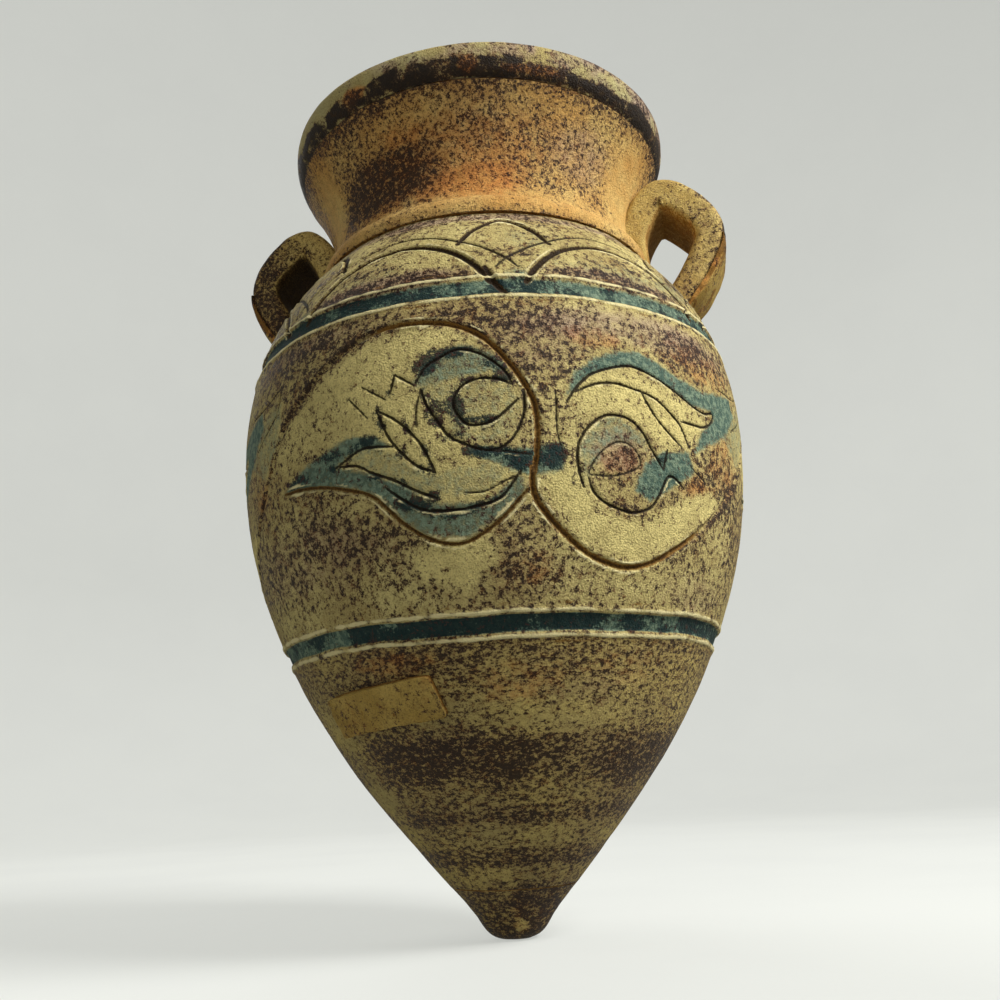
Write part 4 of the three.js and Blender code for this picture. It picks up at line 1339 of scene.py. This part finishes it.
def bare_tablet():
    """Thin plate of clay bent round the cone, with nothing written on it, and painted shadow on its sides.
    """
    piece = flat_grid("bare_tablet", TABLET_COLUMNS, TABLET_ROWS)
    place_vertices(piece, tablet_places(coords_of(piece)[:, :2]))
    thicken(piece, TABLET_PROUD + TABLET_BED)
    rim = piece.modifiers.new("rim", "BEVEL")
    rim.width = TABLET_RIM * MM
    rim.segments = 2
    rim.limit_method = "ANGLE"
    bpy.ops.object.modifier_apply(modifier="rim")
    coords = coords_of(piece)
    sway = grain(coords, 9.0, 61.0)
    # Sides of the tablet: warmer clay, and darker brown that is painted shadow along its edges
    side = 1 - soft_step(np.hypot(*coords[:, :2].T) / MM - radius_at(coords[:, 2] / MM), 1.0, 2.2)
    mark(piece, "speckle", 0.24 + 0.35 * sway)
    mark(piece, "warm", 0.15 + 0.4 * grain(coords, 12.0, 63.0) + 0.6 * side)
    mark(piece, "brown", np.clip(1.3 * grain(coords, 3.0, 65.0) - 0.35, 0, 0.8) + 0.9 * side)
    mark_tone(piece)
    uneven(piece, "dents", *TABLET_DENTS)
    return piece


finish_piece(bare_tablet(), bare_clay, "bare_clay", "tablet")


# Stage, camera and light


def pale_stage():
    """Pale floor that rises into a backdrop all round."""
    edge, corner = (STAGE_FLAT, STAGE_FLOOR), (STAGE_REACH, STAGE_FLOOR)
    bend = bezier((edge, corner, (STAGE_REACH, STAGE_BEND)), STAGE_BEND_STEPS)
    line = np.vstack([[(0.0, STAGE_FLOOR), edge], bend[1:], [(STAGE_REACH, STAGE_TOP)]])
    piece = new_piece("pale_stage")
    draw_line(line)
    spin_all(STAGE_STEPS)
    bpy.ops.object.shade_smooth()
    f = Finish("pale_sheet", SHEET_SPECULAR)
    weave, fold_shade = f.noise(3.0, 3), f.noise(160.0, 3, shift=2.0)
    # Broad darker patches on the flat sheet: painted shade of folds
    colour = f.over(f.step(fold_shade, 0.35, 0.7, 0.0, 0.5), SHEET, SHEET_FOLD_SHADE)
    rough = f.step(weave, 0.3, 0.7, 0.9, 0.97)
    seen = f.nodes.new("ShaderNodeLightPath")
    direct = f.math("MAXIMUM", seen.outputs["Is Camera Ray"], seen.outputs["Is Glossy Ray"])
    f.links.new(f.math("MULTIPLY", direct, STAGE_GLOW), f.shader.inputs["Emission Strength"])
    f.shader.inputs["Emission Color"].default_value = linear(SHEET_GLOW)
    piece.data.materials.clear()
    piece.data.materials.append(f.done(colour, rough, weave, SHEET_BUMP))


def place_camera():
    yaw, pitch, roll = (math.radians(a) for a in (CAMERA_YAW, CAMERA_PITCH, CAMERA_ROLL))
    forward = Vector((math.sin(yaw) * math.cos(pitch), math.cos(yaw) * math.cos(pitch), math.sin(pitch)))
    right = forward.cross(Vector((0, 0, 1))).normalized()
    up = right.cross(forward)
    right, up = right * math.cos(roll) + up * math.sin(roll), up * math.cos(roll) - right * math.sin(roll)
    turn = Matrix.Rotation(math.radians(CAMERA_TURN), 4, "Z")
    facing = Matrix((right, up, -forward)).transposed().to_4x4()
    bpy.ops.object.camera_add()
    camera = bpy.context.object
    camera.matrix_world = Matrix.Translation(Vector(CAMERA_PLACE) * MM) @ turn @ facing
    camera.data.sensor_width = SENSOR
    camera.data.lens = LENS
    camera.data.clip_start = 0.01
    bpy.context.scene.camera = camera


def soft_lamp(name, azimuth, elevation, distance, size, watts):
    """Square soft lamp that faces the middle of the jar."""
    a, e = math.radians(azimuth), math.radians(elevation)
    away = Vector((math.sin(a) * math.cos(e), -math.cos(a) * math.cos(e), math.sin(e)))
    bpy.ops.object.light_add(type="AREA")
    lamp = bpy.context.object
    lamp.name = name
    lamp.location = Vector((0, 0, LAMPS_AIM * MM)) + away * distance
    lamp.rotation_euler = away.to_track_quat("Z", "Y").to_euler()
    lamp.data.size = size
    lamp.data.energy = watts


pale_stage()
place_camera()
for lamp in LAMPS:
    soft_lamp(*lamp)
world = bpy.data.worlds.new("soft_room")
world.use_nodes = True
world.node_tree.nodes["Background"].inputs["Color"].default_value = ROOM_COLOUR
world.node_tree.nodes["Background"].inputs["Strength"].default_value = ROOM_STRENGTH
bpy.context.scene.world = world
bpy.context.scene.view_settings.view_transform = "Standard"
